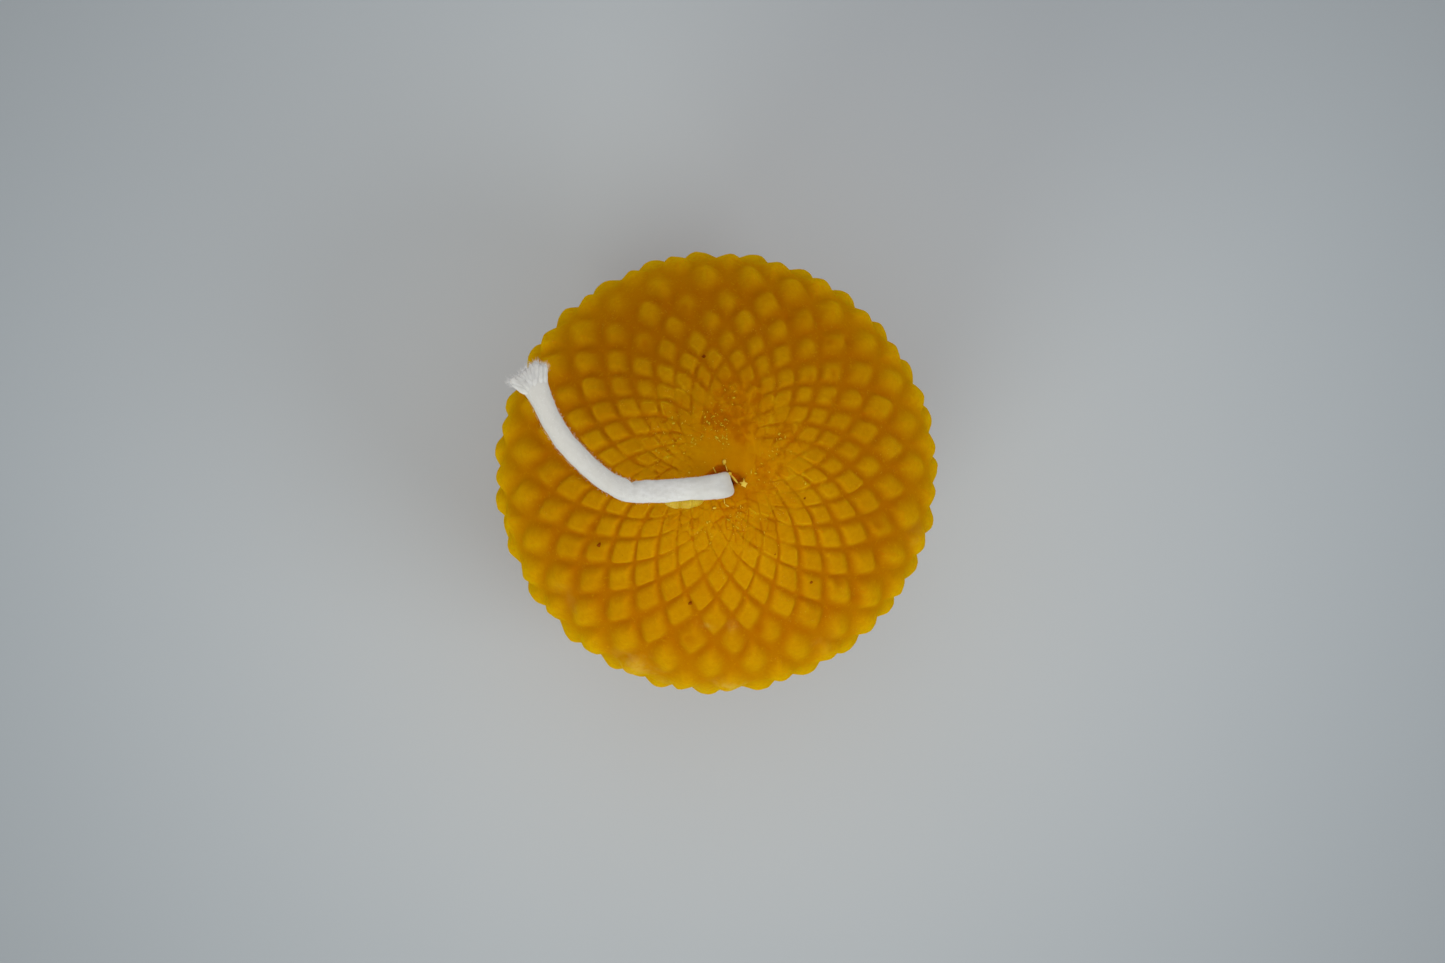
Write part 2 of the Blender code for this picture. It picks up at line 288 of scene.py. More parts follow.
def smooth_curve(points, spacing):
    """Evenly spaced points on a smooth (centripetal) curve through the given ones."""
    pts = [np.array(p, dtype=float) for p in points]
    pts = [2 * pts[0] - pts[1]] + pts + [2 * pts[-1] - pts[-2]]
    fine = []
    for p0, p1, p2, p3 in zip(pts, pts[1:], pts[2:], pts[3:]):
        t0 = 0.0
        t1 = t0 + sqrt(np.linalg.norm(p1 - p0))
        t2 = t1 + sqrt(np.linalg.norm(p2 - p1))
        t3 = t2 + sqrt(np.linalg.norm(p3 - p2))
        for i in range(24):
            t = t1 + (t2 - t1) * i / 24
            a1 = (t1 - t) / (t1 - t0) * p0 + (t - t0) / (t1 - t0) * p1
            a2 = (t2 - t) / (t2 - t1) * p1 + (t - t1) / (t2 - t1) * p2
            a3 = (t3 - t) / (t3 - t2) * p2 + (t - t2) / (t3 - t2) * p3
            b1 = (t2 - t) / (t2 - t0) * a1 + (t - t0) / (t2 - t0) * a2
            b2 = (t3 - t) / (t3 - t1) * a2 + (t - t1) / (t3 - t1) * a3
            fine.append((t2 - t) / (t2 - t1) * b1 + (t - t1) / (t2 - t1) * b2)
    fine.append(pts[-2])
    fine = np.array(fine)
    along = np.concatenate([[0], np.cumsum(np.linalg.norm(np.diff(fine, axis=0), axis=1))])
    n = max(2, int(round(along[-1] / spacing)))
    s = np.linspace(0, along[-1], n + 1)
    return np.stack([np.interp(s, along, fine[:, k]) for k in range(3)], axis=1)


def route_points():
    return [(x, y, HEIGHT + h) for x, y, h in WICK_ROUTE]


def frames_along(path):
    """Tangent, side and up at each point: side stays level, square to the heading."""
    tan = np.gradient(path, axis=0)
    tan /= np.linalg.norm(tan, axis=1)[:, None]
    head = tan[:, :2] + 0.30 * np.array([-0.97, -0.22]) * (1 - np.linalg.norm(tan[:, :2], axis=1))[:, None]
    head /= np.linalg.norm(head, axis=1)[:, None]
    side = np.stack([-head[:, 1], head[:, 0], 0 * head[:, 0]], axis=1)
    side -= tan * np.einsum("ij,ij->i", tan, side)[:, None]
    side /= np.linalg.norm(side, axis=1)[:, None]
    up = np.cross(tan, side)
    return tan, side, up


def tube(path, radius_fn, sides, close_start=True, close_end=True):
    """Swept tube; radius_fn(s 0..1 array, phi array) gives the (side, up) offsets."""
    tan, side, up = frames_along(path)
    n = len(path)
    seg = np.linalg.norm(np.diff(path, axis=0), axis=1)
    s = np.concatenate([[0], np.cumsum(seg)])
    phi = np.arange(sides) * 2 * pi / sides
    S, P = np.meshgrid(s, phi, indexing="ij")
    a, b = radius_fn(S, P)
    verts = path[:, None, :] + a[..., None] * side[:, None, :] + b[..., None] * up[:, None, :]
    verts = verts.reshape(-1, 3)
    i = np.arange(n - 1)[:, None] * sides
    j = np.arange(sides)[None, :]
    k = (j + 1) % sides
    quads = np.stack([i + j, i + k, i + sides + k, i + sides + j], axis=-1).reshape(-1, 4)
    tris = []
    extra = []
    if close_start:
        extra.append(path[0])
        c = len(verts)
        tris += [(c, (m + 1) % sides, m) for m in range(sides)]
    if close_end:
        extra.append(path[-1])
        c = len(verts) + len(extra) - 1
        base = (n - 1) * sides
        tris += [(c, base + m, base + (m + 1) % sides) for m in range(sides)]
    if extra:
        verts = np.concatenate([verts, np.array(extra)])
    return verts, np.array(tris, dtype=int).reshape(-1, 3), quads, (S, P)


def flip_if_inside_out(ob):
    me = ob.data
    n = len(me.vertices)
    co = np.empty(n * 3, np.float32)
    me.vertices.foreach_get("co", co)
    co = co.reshape(-1, 3).astype(float)
    me.calc_loop_triangles()
    t = np.empty(len(me.loop_triangles) * 3, np.int32)
    me.loop_triangles.foreach_get("vertices", t)
    t = t.reshape(-1, 3)
    vol = np.einsum("ij,ij->i", co[t[:, 0]], np.cross(co[t[:, 1]], co[t[:, 2]])).sum()
    if vol < 0:
        me.flip_normals()


# -------------------------------------------------------------- wax: profile
TIP_ARC = 0.70 * RADIUS
TIP_END = 0.51 * RADIUS
FLANK_END = 0.90 * RADIUS
FLANK_SIN = 0.82
SIDE_ARC = 5.0 * RADIUS
SIDE_DROP = 0.95 * RADIUS
FOOT_ARC = 1.5 * RADIUS
SPIRALS = 27
STEP = 2 * pi / SPIRALS
ROW0_RADIUS = 0.3225 * RADIUS
ROW0_TURN = radians(0.9)
BASE_EDGE = 0.0009
CHANNEL_RADIUS = 0.00178


def profile_points(steps=4000):
    pts = []
    sin_tip = TIP_END / TIP_ARC
    flank_arc = (FLANK_END - TIP_END) / (FLANK_SIN - sin_tip)
    shoulder_arc = (RADIUS - FLANK_END) / (1.0 - FLANK_SIN)
    side_sin = SIDE_DROP / SIDE_ARC
    spans = (
        (TIP_ARC, 0.0, asin(sin_tip)),
        (flank_arc, asin(sin_tip), asin(FLANK_SIN)),
        (shoulder_arc, asin(FLANK_SIN), pi / 2),
        (SIDE_ARC, pi / 2, pi / 2 + asin(side_sin)),
        (FOOT_ARC, pi / 2 + asin(side_sin), pi),
    )
    r, z = 0.0, HEIGHT
    for arc, a0, a1 in spans:
        n = max(8, int(steps * arc * (a1 - a0) / (6 * RADIUS)))
        for i in range(n):
            a = a0 + (a1 - a0) * i / n
            pts.append((r + arc * (sin(a) - sin(a0)), z - arc * (cos(a0) - cos(a)), a))
            if pts[-1][1] <= -0.002:
                return np.array(pts)
        r += arc * (sin(a1) - sin(a0))
        z -= arc * (cos(a0) - cos(a1))
    return np.array(pts)


PROF = profile_points()
_ds = np.linalg.norm(np.diff(PROF[:, :2], axis=0), axis=1)
_mid = np.maximum(0.5 * (PROF[1:, 0] + PROF[:-1, 0]), 0.0004)
ROWS = np.concatenate([[0], np.cumsum(_ds / (STEP * _mid))])
_i0 = int(np.argmax(PROF[:, 0] >= ROW0_RADIUS))
ROWS = ROWS - np.interp(ROW0_RADIUS, PROF[: _i0 + 2, 0], ROWS[: _i0 + 2])


def at_row(u):
    return tuple(np.interp(u, ROWS, PROF[:, k]) for k in range(3))


TOP_PART = PROF[:, 2] < pi / 2
R_OF_U_TOP = PROF[TOP_PART]


def row_of_radius(r):
    return np.interp(r, R_OF_U_TOP[:, 0], ROWS[TOP_PART])


def crest_z(r):
    return np.interp(r, R_OF_U_TOP[:, 0], R_OF_U_TOP[:, 1])


# --------------------------------------------------------------- wax: relief
DEPTH_R = np.array([0.0, 4.0, 5.5, 7.0, 9.0, 11.0, 13.0, 15.0, 20.0, 25.0, 30.0]) * MM
DEPTH_D = np.array([0.0, 0.05, 0.13, 0.19, 0.26, 0.33, 0.41, 0.50, 0.74, 0.95, 1.15]) * MM
SLOPE_D = np.array([0.20, 0.26, 0.34, 0.43, 0.55, 0.70, 0.92, 1.12, 1.62, 2.20, 2.75]) * MM

PITS = (  # x, y, radius, depth in mm: small dents pressed or broken out of the wax
    (15.57, -14.69, 0.55, 0.22), (20.67, -7.19, 0.60, 0.20), (14.49, 16.65, 0.45, 0.20),
    (17.01, 17.12, 0.40, 0.18), (11.53, 11.54, 0.35, 0.16), (14.79, 12.14, 0.45, 0.20),
    (18.82, 9.85, 0.45, 0.16), (14.50, 8.78, 0.40, 0.18), (18.97, 6.41, 0.50, 0.16),
    (-2.79, 10.85, 0.35, 0.12), (10.44, -16.86, 0.45, 0.16), (18.35, -16.93, 0.55, 0.20),
    (-3.89, -22.05, 0.50, 0.16), (-16.72, -7.90, 0.40, 0.14), (9.2, 20.3, 0.5, 0.2),
    (-9.6, 16.1, 0.45, 0.18), (-4.6, 21.4, 0.5, 0.18), (5.1, -21.0, 0.5, 0.16),
)
BLOOM = (  # x, y, z, radius, strength: pale dry patches on the rim
    (-11.04, -26.5, 52.88, 2.8, 0.50), (1.25, -29.30, 51.4, 1.9, 1.0),
    (-1.9, -20.2, 64.5, 0.8, 0.6), (1.7, -20.4, 64.2, 0.8, 0.5),
    (14.5, -23.8, 56.0, 2.0, 0.18), (-20.5, -17.5, 57.0, 2.2, 0.18),
    (26.8, -8.5, 54.0, 1.8, 0.15), (-5.0, -28.0, 48.0, 3.0, 0.35),
)


def cells(x, y, size, seed):
    """Irregular cells: distance to the cell's edge, offset from its middle, three values of its own."""
    gx, gy = np.floor(x / size), np.floor(y / size)
    best = np.full(x.shape, 9e9)
    second = best.copy()
    bx, by = np.zeros_like(x), np.zeros_like(x)
    own = [np.zeros_like(x) for _ in range(3)]
    for di in (-1, 0, 1):
        for dj in (-1, 0, 1):
            cx, cy = gx + di, gy + dj
            px = cx + 0.5 + 0.85 * (hash01(cx + 400, cy + 400, seed) - 0.5)
            py = cy + 0.5 + 0.85 * (hash01(cx + 400, cy + 400, seed + 1) - 0.5)
            dx, dy = x / size - px, y / size - py
            d = np.hypot(dx, dy)
            closer = d < best
            second = np.where(closer, best, np.minimum(second, d))
            bx, by = np.where(closer, dx, bx), np.where(closer, dy, by)
            own = [np.where(closer, hash01(cx + 400, cy + 400, seed + 2 + m), own[m]) for m in range(3)]
            best = np.where(closer, d, best)
    return second - best, bx, by, own


def relief(theta, u, r, z):
    """Depth below the crest profile, cavity 0..1 and tile value for surface points."""
    p = (theta - ROW0_TURN) / STEP + 0.5 * u
    q = (theta - ROW0_TURN) / STEP - 0.5 * u
    ip, iq = np.rint(p - 1e-7), np.rint(q + 1e-7)
    a, b = p - ip, q - iq
    row = ip - iq
    col = np.mod(ip + iq, 2 * SPIRALS)
    tip_side = z > 0.5 * HEIGHT
    rr = np.where(tip_side, r, RADIUS)
    depth = np.interp(rr, DEPTH_R, DEPTH_D)
    slope = np.interp(rr, DEPTH_R, SLOPE_D)
    narrow = (0.5 - 0.5 * np.sin(theta + 0.25)) * smoothstep(rr, 0.0245, 0.0165) * tip_side
    slope = slope * (1 - 0.40 * narrow)
    depth = depth * (1 - 0.22 * narrow * smoothstep(rr, 0.0150, 0.0095))
    wide = smoothstep(np.sin(theta - 0.31), 0.20, 0.95) * smoothstep(rr, 0.0120, 0.0190) * smoothstep(rr, 0.0300, 0.0255) * tip_side
    slope = slope * (1 + 0.30 * wide)
    depth = depth * (1 + 0.12 * wide)
    perp = 0.208 * r                       # groove to groove, square to the grooves
    xyz = np.stack([r * np.cos(theta), r * np.sin(theta), z], axis=1)

    def rnd(k):
        return hash01(row + 50, col, 900 + k)

    wob = 0.34 + 0.10 * smoothstep(r, 0.022, 0.008)
    x0, y0 = xyz[:, 0] / MM, xyz[:, 1] / MM
    # Round the mouth the wax ran and set again: the tiles are half gone there and lumpy.
    worn = np.zeros_like(r)
    for wx, wy, ws_, wk in WORN:
        worn = np.maximum(worn, wk * np.exp(-(((x0 - wx) ** 2 + (y0 - wy) ** 2) / ws_ ** 2) ** 1.5))
    worn = np.where(tip_side, worn, 0.0)
    near = smoothstep(r, 0.0165, 0.0080)
    gap = fbm(xyz, 0.0016, 67, 2)
    shape = 1.0
    for k, (c, sign) in enumerate(((a, 1), (a, -1), (b, 1), (b, -1))):
        w = (0.5 - sign * c) * perp         # distance to this side's groove line
        ws = slope * (1 - wob + 2 * wob * rnd(k))
        x = np.clip(w / ws, 0, 1)
        s = 1 - (1 - x) ** 2
        s = 0.40 * s + 0.60 * x * x * (3 - 2 * x)
        # strength of this stretch of groove, the same seen from both tiles
        if k < 2:
            e1, e2 = 2 * ip + sign, 2 * iq
        else:
            e1, e2 = 2 * ip, 2 * iq + sign
        g = hash01(np.mod(e1 + e2, 4 * SPIRALS), e1 - e2 + 90, 77)
        strong = 1 - near * np.clip(1.0 - 1.5 * g, 0, 0.85)
        strong = strong * (1 - near * (1 - smoothstep(gap, -0.42, -0.02)) * 0.75)
        shape = shape * (1 - (1 - s) * strong)
    # Pillow crown and tilt of each tile.
    ca, cb = np.clip(2 * a, -1, 1), np.clip(2 * b, -1, 1)
    crown = (0.14 + 0.03 * smoothstep(rr, 0.012, 0.030)) * (0.4 + 1.2 * rnd(4)) * MM * smoothstep(rr, 0.0035, 0.0075)
    tilt_a = (rnd(5) - 0.5) * 0.23 * MM * smoothstep(rr, 0.004, 0.012)
    tilt_b = (rnd(6) - 0.5) * 0.23 * MM * smoothstep(rr, 0.004, 0.012)
    low = rnd(7) * 0.12 * MM * smoothstep(rr, 0.005, 0.014)
    lift = -crown * (0.5 * (ca ** 2 + cb ** 2)) + (tilt_a * ca + tilt_b * cb) - low
    fade = (1 + 0.35 * fbm(xyz, 0.0032, 11, 2) * near) * (1 - worn)
    d = depth * fade
    keep = (row <= 14) & (row >= -3)
    shape = np.where(row > 14, 0.0, np.where(keep, shape, 1.0))
    d = np.where(row < -3, 0, d)
    down = d * (1 - shape) - lift * (1 - 0.8 * worn) * np.clip(shape * 1.4, 0, 1) * np.where(row < -3, 0, 1)
    # Soft unevenness of cast wax.
    down = down - 0.045 * MM * fbm(xyz, 0.0042, 21, 3) * smoothstep(r, 0.003, 0.010)
    down = down - 0.032 * MM * fbm(xyz, 0.0011, 31, 2)
    lump = fbm(xyz, 0.0019, 41, 3)
    lumpy = np.clip(worn * 1.25, 0, 1) * smoothstep(r, 0.0032, 0.0052)
    down = down - 0.50 * MM * np.clip(lump, -0.5, 1) * lumpy
    pebble = fbm(xyz, 0.0009, 43, 2)
    down = down - 0.20 * MM * np.clip(pebble, -0.5, 1) * lumpy
    # Set wax round the tip broke up into small uneven facets with fine cracks between.
    wx = xyz[:, 0] + 0.45 * MM * fbm(xyz, 0.0020, 58, 2)
    wy = xyz[:, 1] + 0.45 * MM * fbm(xyz, 0.0020, 59, 2)
    edge, bx, by, own = cells(wx, wy, 0.00135, 311)
    where = np.clip(0.55 + 0.45 * smoothstep(y0 + 0.25 * x0, -1.5, -4.5) + 0.25 * smoothstep(-x0, 3.0, 6.0), 0, 1)
    broken = smoothstep(r, 0.0128, 0.0090) * smoothstep(r, 0.0030, 0.0042) * where * tip_side
    crack = np.exp(-(edge / 0.16) ** 2) * smoothstep(fbm(xyz, 0.0023, 63, 2), -0.25, 0.15)
    facet = 0.27 * ((own[0] - 0.5) * bx + (own[1] - 0.5) * by) + 0.05 * (own[2] - 0.5)
    down = down + broken * MM * (0.075 * crack - facet * (1 - np.exp(-(edge / 0.10) ** 2)))
    second, bx, by, small = cells(wx * 1.07 + wy * 0.3, wy, 0.00062, 511)
    crumb = np.clip(small[0] - 0.45, 0, 1) * np.clip(second * 3.0, 0, 1)
    down = down - 0.10 * MM * crumb * np.clip(0.55 * broken + 0.75 * lumpy, 0, 1)
    ridge = 1 - np.abs(fbm(xyz * np.array([1.0, 0.62, 1.0]), 0.0024, 47, 2)) * 3.2
    down = down - 0.17 * MM * np.clip(ridge, 0, 1) ** 2 * lumpy
    down = down - 0.05 * MM * fbm(xyz, 0.00075, 57, 2) * np.clip(0.35 * near + lumpy, 0, 1)
    scratch = fbm(xyz * np.array([1.0, 0.16, 0.16]), 0.00055, 53, 2)
    for wx, wy, ws_, wk in ((0.9, -5.9, 2.4, 1.0), (0.2, 3.4, 1.6, 0.5)):
        down = down - 0.035 * MM * wk * scratch * np.exp(-((x0 - wx) ** 2 + (y0 - wy) ** 2) / ws_ ** 2) * tip_side
    dent_tint_and_edge_highlight = np.zeros_like(r)
    for px, py, pr, pd in PITS:
        g = ((xyz[:, 0] - px * MM) ** 2 + (xyz[:, 1] - py * MM) ** 2) / (pr * MM) ** 2
        down = down + np.where(tip_side, 1.05 * pd * MM * np.exp(-g ** 1.3), 0)
        dent_tint_and_edge_highlight = np.maximum(dent_tint_and_edge_highlight, np.where(tip_side, np.exp(-g / 1.6), 0))
    # Slightly raised edges on some of the tiles nearer the tip, painted paler: a painted highlight along the raised
    # edges.
    pale = np.exp(-((shape - 0.87) / 0.07) ** 2) * smoothstep(r, 0.0215, 0.0105) * smoothstep(fbm(xyz, 0.0014, 87, 2), -0.05, 0.35)
    pale = pale * (1 - worn) * smoothstep(r, 0.0040, 0.0060) * tip_side
    down = down - 0.040 * MM * pale
    # Dents carry a positive value, a darker, redder tint; elsewhere the negative of the pale edges carries the painted
    # highlight.
    dent_tint_and_edge_highlight = np.where(dent_tint_and_edge_highlight > 0.04, dent_tint_and_edge_highlight, -pale)
    # cavity: painted shade, darker orange in the grooves, in the hollows between the lumps and in the cracks, and
    # paler on the lump ridges and raised crumbs (painted light); besides a real deeper orange in the re-set wax and a
    # tone that differs from facet to facet.
    cavity = np.clip((1 - shape) * np.clip(depth / (0.30 * MM), 0.30, 1) * np.clip(fade, 0.30, 1.2), 0, 1)
    cavity = np.clip(cavity + 0.80 * lumpy * np.clip(0.45 - lump * 1.7 - 0.8 * pebble, 0, 1.2) - 0.3 * lumpy * np.clip(ridge, 0, 1)
                     + 0.36 * worn * smoothstep(r, 0.0028, 0.0040) + 0.50 * broken * crack + 0.55 * broken * (own[2] - 0.5) - 0.30 * crumb * np.clip(broken + lumpy, 0, 1), 0, 1)
    return np.maximum(down, -0.26 * MM), cavity, rnd(8), dent_tint_and_edge_highlight


WORN = (  # x, y, radius in mm, strength
    (1.0, 4.6, 4.0, 0.88), (1.6, 8.6, 3.0, 0.62), (5.0, 0.4, 3.6, 0.62), (0.9, -0.8, 3.8, 0.86), (0.6, -5.2, 2.4, 0.35), (8.2, 3.6, 2.0, 0.4),
)

# Outline of the broken mouth at the tip: angle in degrees, radius in mm about MOUTH_AT
MOUTH_AT = np.array([0.20, -2.00]) * MM
MOUTH_OUT = np.array([
    (-180, 2.30), (-160, 2.24), (-140, 2.08), (-118, 1.98), (-95, 1.86), (-75, 1.64), (-57, 1.32), (-44, 1.16),
    (-32, 1.10), (-22, 1.12), (-12, 1.32), (-3, 1.72), (6, 2.12), (14, 2.10), (22, 2.02), (30, 1.90), (38, 1.70), (48, 1.50),
    (58, 1.42), (70, 1.46), (80, 1.58), (88, 1.86), (98, 2.08), (110, 2.18), (122, 2.12), (132, 1.98), (145, 2.16),
    (161, 2.40), (172, 2.38), (180, 2.30)])


EQUATOR = float(PROF[np.argmax(PROF[:, 0]), 1])


def wax_body(material):
    """The whole candle as one closed surface of rings, tip to base and up the wick channel."""
    verts, tris = [], []
    deep_parts = {}
    count = [0]

    def put_ring(xyz):
        start = count[0]
        verts.append(xyz)
        count[0] += len(xyz)
        return start, len(xyz)

    lattice = {"theta": [], "u": []}

    fine_n, coarse_n = 16, 8
    u_top, u_switch, u_last = -2.0, 8.5, 15.0

    cav_parts, tile_parts, dent_tint_and_edge_highlight_parts = [], [], {}

    def surface_ring(theta, u):
        """Lattice ring: warped a little, sunk by the relief."""
        u = np.full_like(theta, u) if np.isscalar(u) else u
        r, z, sl = at_row(u)
        xyz0 = np.stack([r * np.cos(theta), r * np.sin(theta), z], axis=1)
        down, cav, tile, dent_tint_and_edge_highlight = relief(theta, u, r, z)
        # The groove lines wander a little.
        amp = 0.055 * smoothstep(u, -2.0, 0.5) * smoothstep(u, 15.0, 13.6)
        inner = smoothstep(r, 0.0150, 0.0080)
        wt = fbm(xyz0, 0.0070, 61, 2) * amp * (1 + 1.3 * inner) + (0.022 + 0.05 * inner) * fbm(xyz0, 0.0022, 62, 1) * smoothstep(u, -2, 0) * smoothstep(u, 15, 14)
        wu = fbm(xyz0, 0.0070, 71, 2) * amp * 1.7 + 0.10 * inner * fbm(xyz0, 0.0024, 72, 1) * smoothstep(u, -2, 0)
        t2, u2 = theta + wt * STEP, u + wu
        r2, z2, sl2 = at_row(u2)
        rr = r2 - down * np.sin(sl2)
        zz = z2 - down * np.cos(sl2)
        dent_tint_and_edge_highlight_parts[len(cav_parts)] = dent_tint_and_edge_highlight
        cav_parts.append(cav)
        tile_parts.append(tile)
        return np.stack([rr * np.cos(t2), rr * np.sin(t2), zz], axis=1)

    base_theta = 0.0

    def angles(n_per, offset):
        n = n_per * SPIRALS
        return ROW0_TURN + (np.arange(n) + offset) * STEP / n_per

    # --- cap rings, from the lattice's first ring in to the mouth
    n_cap = coarse_n * SPIRALS
    th = angles(coarse_n, 0.0)
    first_r = at_row(u_top)[0]
    outer_xy = np.stack([first_r * np.cos(th), first_r * np.sin(th)], axis=1)
    phase = np.degrees((th + pi) % (2 * pi) - pi)
    rad = np.interp(phase, MOUTH_OUT[:, 0], MOUTH_OUT[:, 1]) * MM
    jit = 0.045 * MM * fbm(np.stack([np.cos(th), np.sin(th), 0 * th], axis=1), 0.16, 81, 3)
    rad = rad + jit
    mouth_xy = MOUTH_AT + np.stack([rad * np.cos(th), rad * np.sin(th)], axis=1)
    n_rings = 26
    cap_rings = []
    for k in range(n_rings, -1, -1):       # mouth first
        t = k / n_rings                      # 0 at the lattice ring, 1 at the mouth
        t = 1 - (1 - t) ** 1.0
        xy = outer_xy * (1 - t) + mouth_xy * t
        r = np.linalg.norm(xy, axis=1)
        ang = np.arctan2(xy[:, 1], xy[:, 0])
        u = row_of_radius(r)
        z = crest_z(r)
        if k > 0:
            down, cav, tile, dent_tint_and_edge_highlight = relief(ang, u, r, z)
            blend = smoothstep(t, 0.0, 0.08)
        else:
            down, cav, tile, dent_tint_and_edge_highlight = relief(ang, u, r, z)
        edge = np.linalg.norm(xy - mouth_xy, axis=1)
        # The right-hand side of the mouth dips softly into the hole.
        soft = np.exp(-((((phase + 5 + 180) % 360 - 180) / 38.0) ** 2))
        drop = 0.10 * MM * np.exp(-(edge / (0.12 * MM)) ** 2) + 0.42 * MM * soft * np.exp(-(edge / (0.55 * MM)) ** 1.5)
        lip = 0.05 * MM * np.exp(-((edge - 0.30 * MM) / (0.22 * MM)) ** 2) * (1 - soft)
        zz = z - down - drop + lip
        cap_rings.append(put_ring(np.stack([xy[:, 0], xy[:, 1], zz], axis=1)))
        # Painted shade: the mouth's edge and the soft dip on its right-hand side take the darker groove colour.
        cav_parts.append(np.clip(cav + 0.5 * np.exp(-(edge / (0.15 * MM)) ** 2) + 0.85 * soft * np.exp(-(edge / (0.85 * MM)) ** 2), 0, 1))
        tile_parts.append(tile)
    mouth_ring = cap_rings[0]
    # cap_rings[-1] is at the lattice ring's radius: its points are dropped in favour of the lattice ring.
    last_cap = cap_rings[-2]
    count[0] -= cap_rings[-1][1]
    verts.pop()
    cav_parts.pop()
    tile_parts.pop()
    for (s0, n), (s1, _) in zip(cap_rings[:-2], cap_rings[1:-1]):
        j = np.arange(n)
        k = (j + 1) % n
        tris.append(np.stack([s0 + j, s1 + j, s1 + k], axis=1))
        tris.append(np.stack([s0 + j, s1 + k, s0 + k], axis=1))

    # --- fine lattice
    ring_info = []
    steps = int(round((u_switch - u_top) * fine_n))
    for b in range(steps + 1):
        off = 0.5 * (b % 2)
        ring_info.append((put_ring(surface_ring(angles(fine_n, off), u_top + b / fine_n)), b % 2))
    # cap to lattice
    s0, n0 = last_cap
    s1, n1 = ring_info[0][0]
    a = np.arange(n0)
    a1 = (a + 1) % n0
    f0, f1, f2 = s1 + 2 * a, s1 + 2 * a + 1, s1 + (2 * a + 2) % n1
    tris.append(np.stack([s0 + a, f0, f1], axis=1))
    tris.append(np.stack([s0 + a, f1, s0 + a1], axis=1))
    tris.append(np.stack([s0 + a1, f1, f2], axis=1))

    def staggered(ra, odd_a, rb):
        (s0, n), (s1, _) = ra, rb
        j = np.arange(n)
        k = (j + 1) % n
        if not odd_a:
            tris.append(np.stack([s0 + j, s1 + j, s0 + k], axis=1))
            tris.append(np.stack([s0 + k, s1 + j, s1 + k], axis=1))
        else:
            tris.append(np.stack([s0 + j, s1 + j, s1 + k], axis=1))
            tris.append(np.stack([s0 + j, s1 + k, s0 + k], axis=1))

    for (ra, oa), (rb, _) in zip(ring_info, ring_info[1:]):
        staggered(ra, oa, rb)

    # --- coarse lattice, from the widest part down
    steps = int(round((u_last - u_switch) * coarse_n))
    coarse = []
    for b in range(1, steps + 1):
        off = 0.5 * (b % 2)
        coarse.append((put_ring(surface_ring(angles(coarse_n, off), u_switch + b / coarse_n)), b % 2))
    s0, n0 = ring_info[-1][0]
    s1, n1 = coarse[0][0]
    a = np.arange(n1)
    a1 = (a + 1) % n1
    f0, f1, f2 = s0 + 2 * a, s0 + 2 * a + 1, s0 + (2 * a + 2) % n0
    tris.append(np.stack([f0, s1 + a, f1], axis=1))
    tris.append(np.stack([f1, s1 + a, f2], axis=1))
    tris.append(np.stack([f2, s1 + a, s1 + a1], axis=1))
    for (ra, oa), (rb, _) in zip(coarse, coarse[1:]):
        staggered(ra, oa, rb)

    # --- plain band, rolled edge and poured base
    n = coarse_n * SPIRALS
    odd = coarse[-1][1]
    th = angles(coarse_n, 0.5 * odd)
    rl, zl, sll = (float(v) for v in at_row(u_last))
    full = float(DEPTH_D[-1])
    prev, _ = coarse[-1][0]
    u_foot = float(np.interp(-BASE_EDGE, -PROF[PROF[:, 2] > pi / 2][:, 1], ROWS[PROF[:, 2] > pi / 2]))
    rings = []
    for t in np.linspace(0.2, 1.0, 5):
        u = u_last + (u_foot - u_last) * t
        r, z, sl = (float(v) for v in at_row(u))
        r, z = r - full * sin(sl), z - full * cos(sl) * (1 - t)
        z = zl + (BASE_EDGE - zl) * t
        rings.append((np.full(n, r), np.full(n, z)))
    r_edge = rings[-1][0][0]
    for a in np.linspace(0.15, 1.0, 6) * pi / 2:
        rings.append((np.full(n, r_edge - BASE_EDGE * (1 - cos(a)) * 0.9), np.full(n, BASE_EDGE * (1 - sin(a)))))
    r_flat = rings[-1][0][0]
    for r in np.concatenate([np.linspace(r_flat - 0.5 * MM, 4.0 * MM, 12), [3.0 * MM, 2.4 * MM, 2.0 * MM, CHANNEL_RADIUS]]):
        rings.append((np.full(n, r), np.full(n, 0.0)))
    ids = []
    for m, (r, z) in enumerate(rings):
        xyz = np.stack([r * np.cos(th), r * np.sin(th), z], axis=1)
        if z[0] <= 1e-9:                       # the poured face: shallow ripples, never below the floor
            rim = smoothstep(r, r_flat + 1e-6, r_flat - 1.5 * MM)
            well = 0.30 * MM * np.exp(-((r - 1.9 * MM) / (1.6 * MM)) ** 2)
            rip = 0.06 * MM * (0.6 + 0.4 * fbm(xyz, 0.006, 91, 3)) * rim
            bub = np.clip(fbm(xyz, 0.0016, 95, 1) - 0.55, 0, 1) * 0.8 * MM * rim
            xyz[:, 2] = np.clip(rip + bub, 0, None) * (r > 2.2 * MM) + well * rim
        else:
            xyz[:, :2] *= (1 + 0.0016 * fbm(xyz, 0.004, 93, 2))[:, None]
        ids.append(put_ring(xyz))
        cav_parts.append(np.full(n, 0.25 if z[0] > 1e-9 else 0.0))
        tile_parts.append(np.full(n, 0.5))
    # channel up to the mouth
    def chan(zc, rc, ring_theta, wob=0.0):
        f = zc / HEIGHT
        rr = rc + wob
        return np.stack([WICK_EXIT[0] * f + rr * np.cos(ring_theta), WICK_EXIT[1] * f + rr * np.sin(ring_theta), np.full(n, zc)], axis=1)

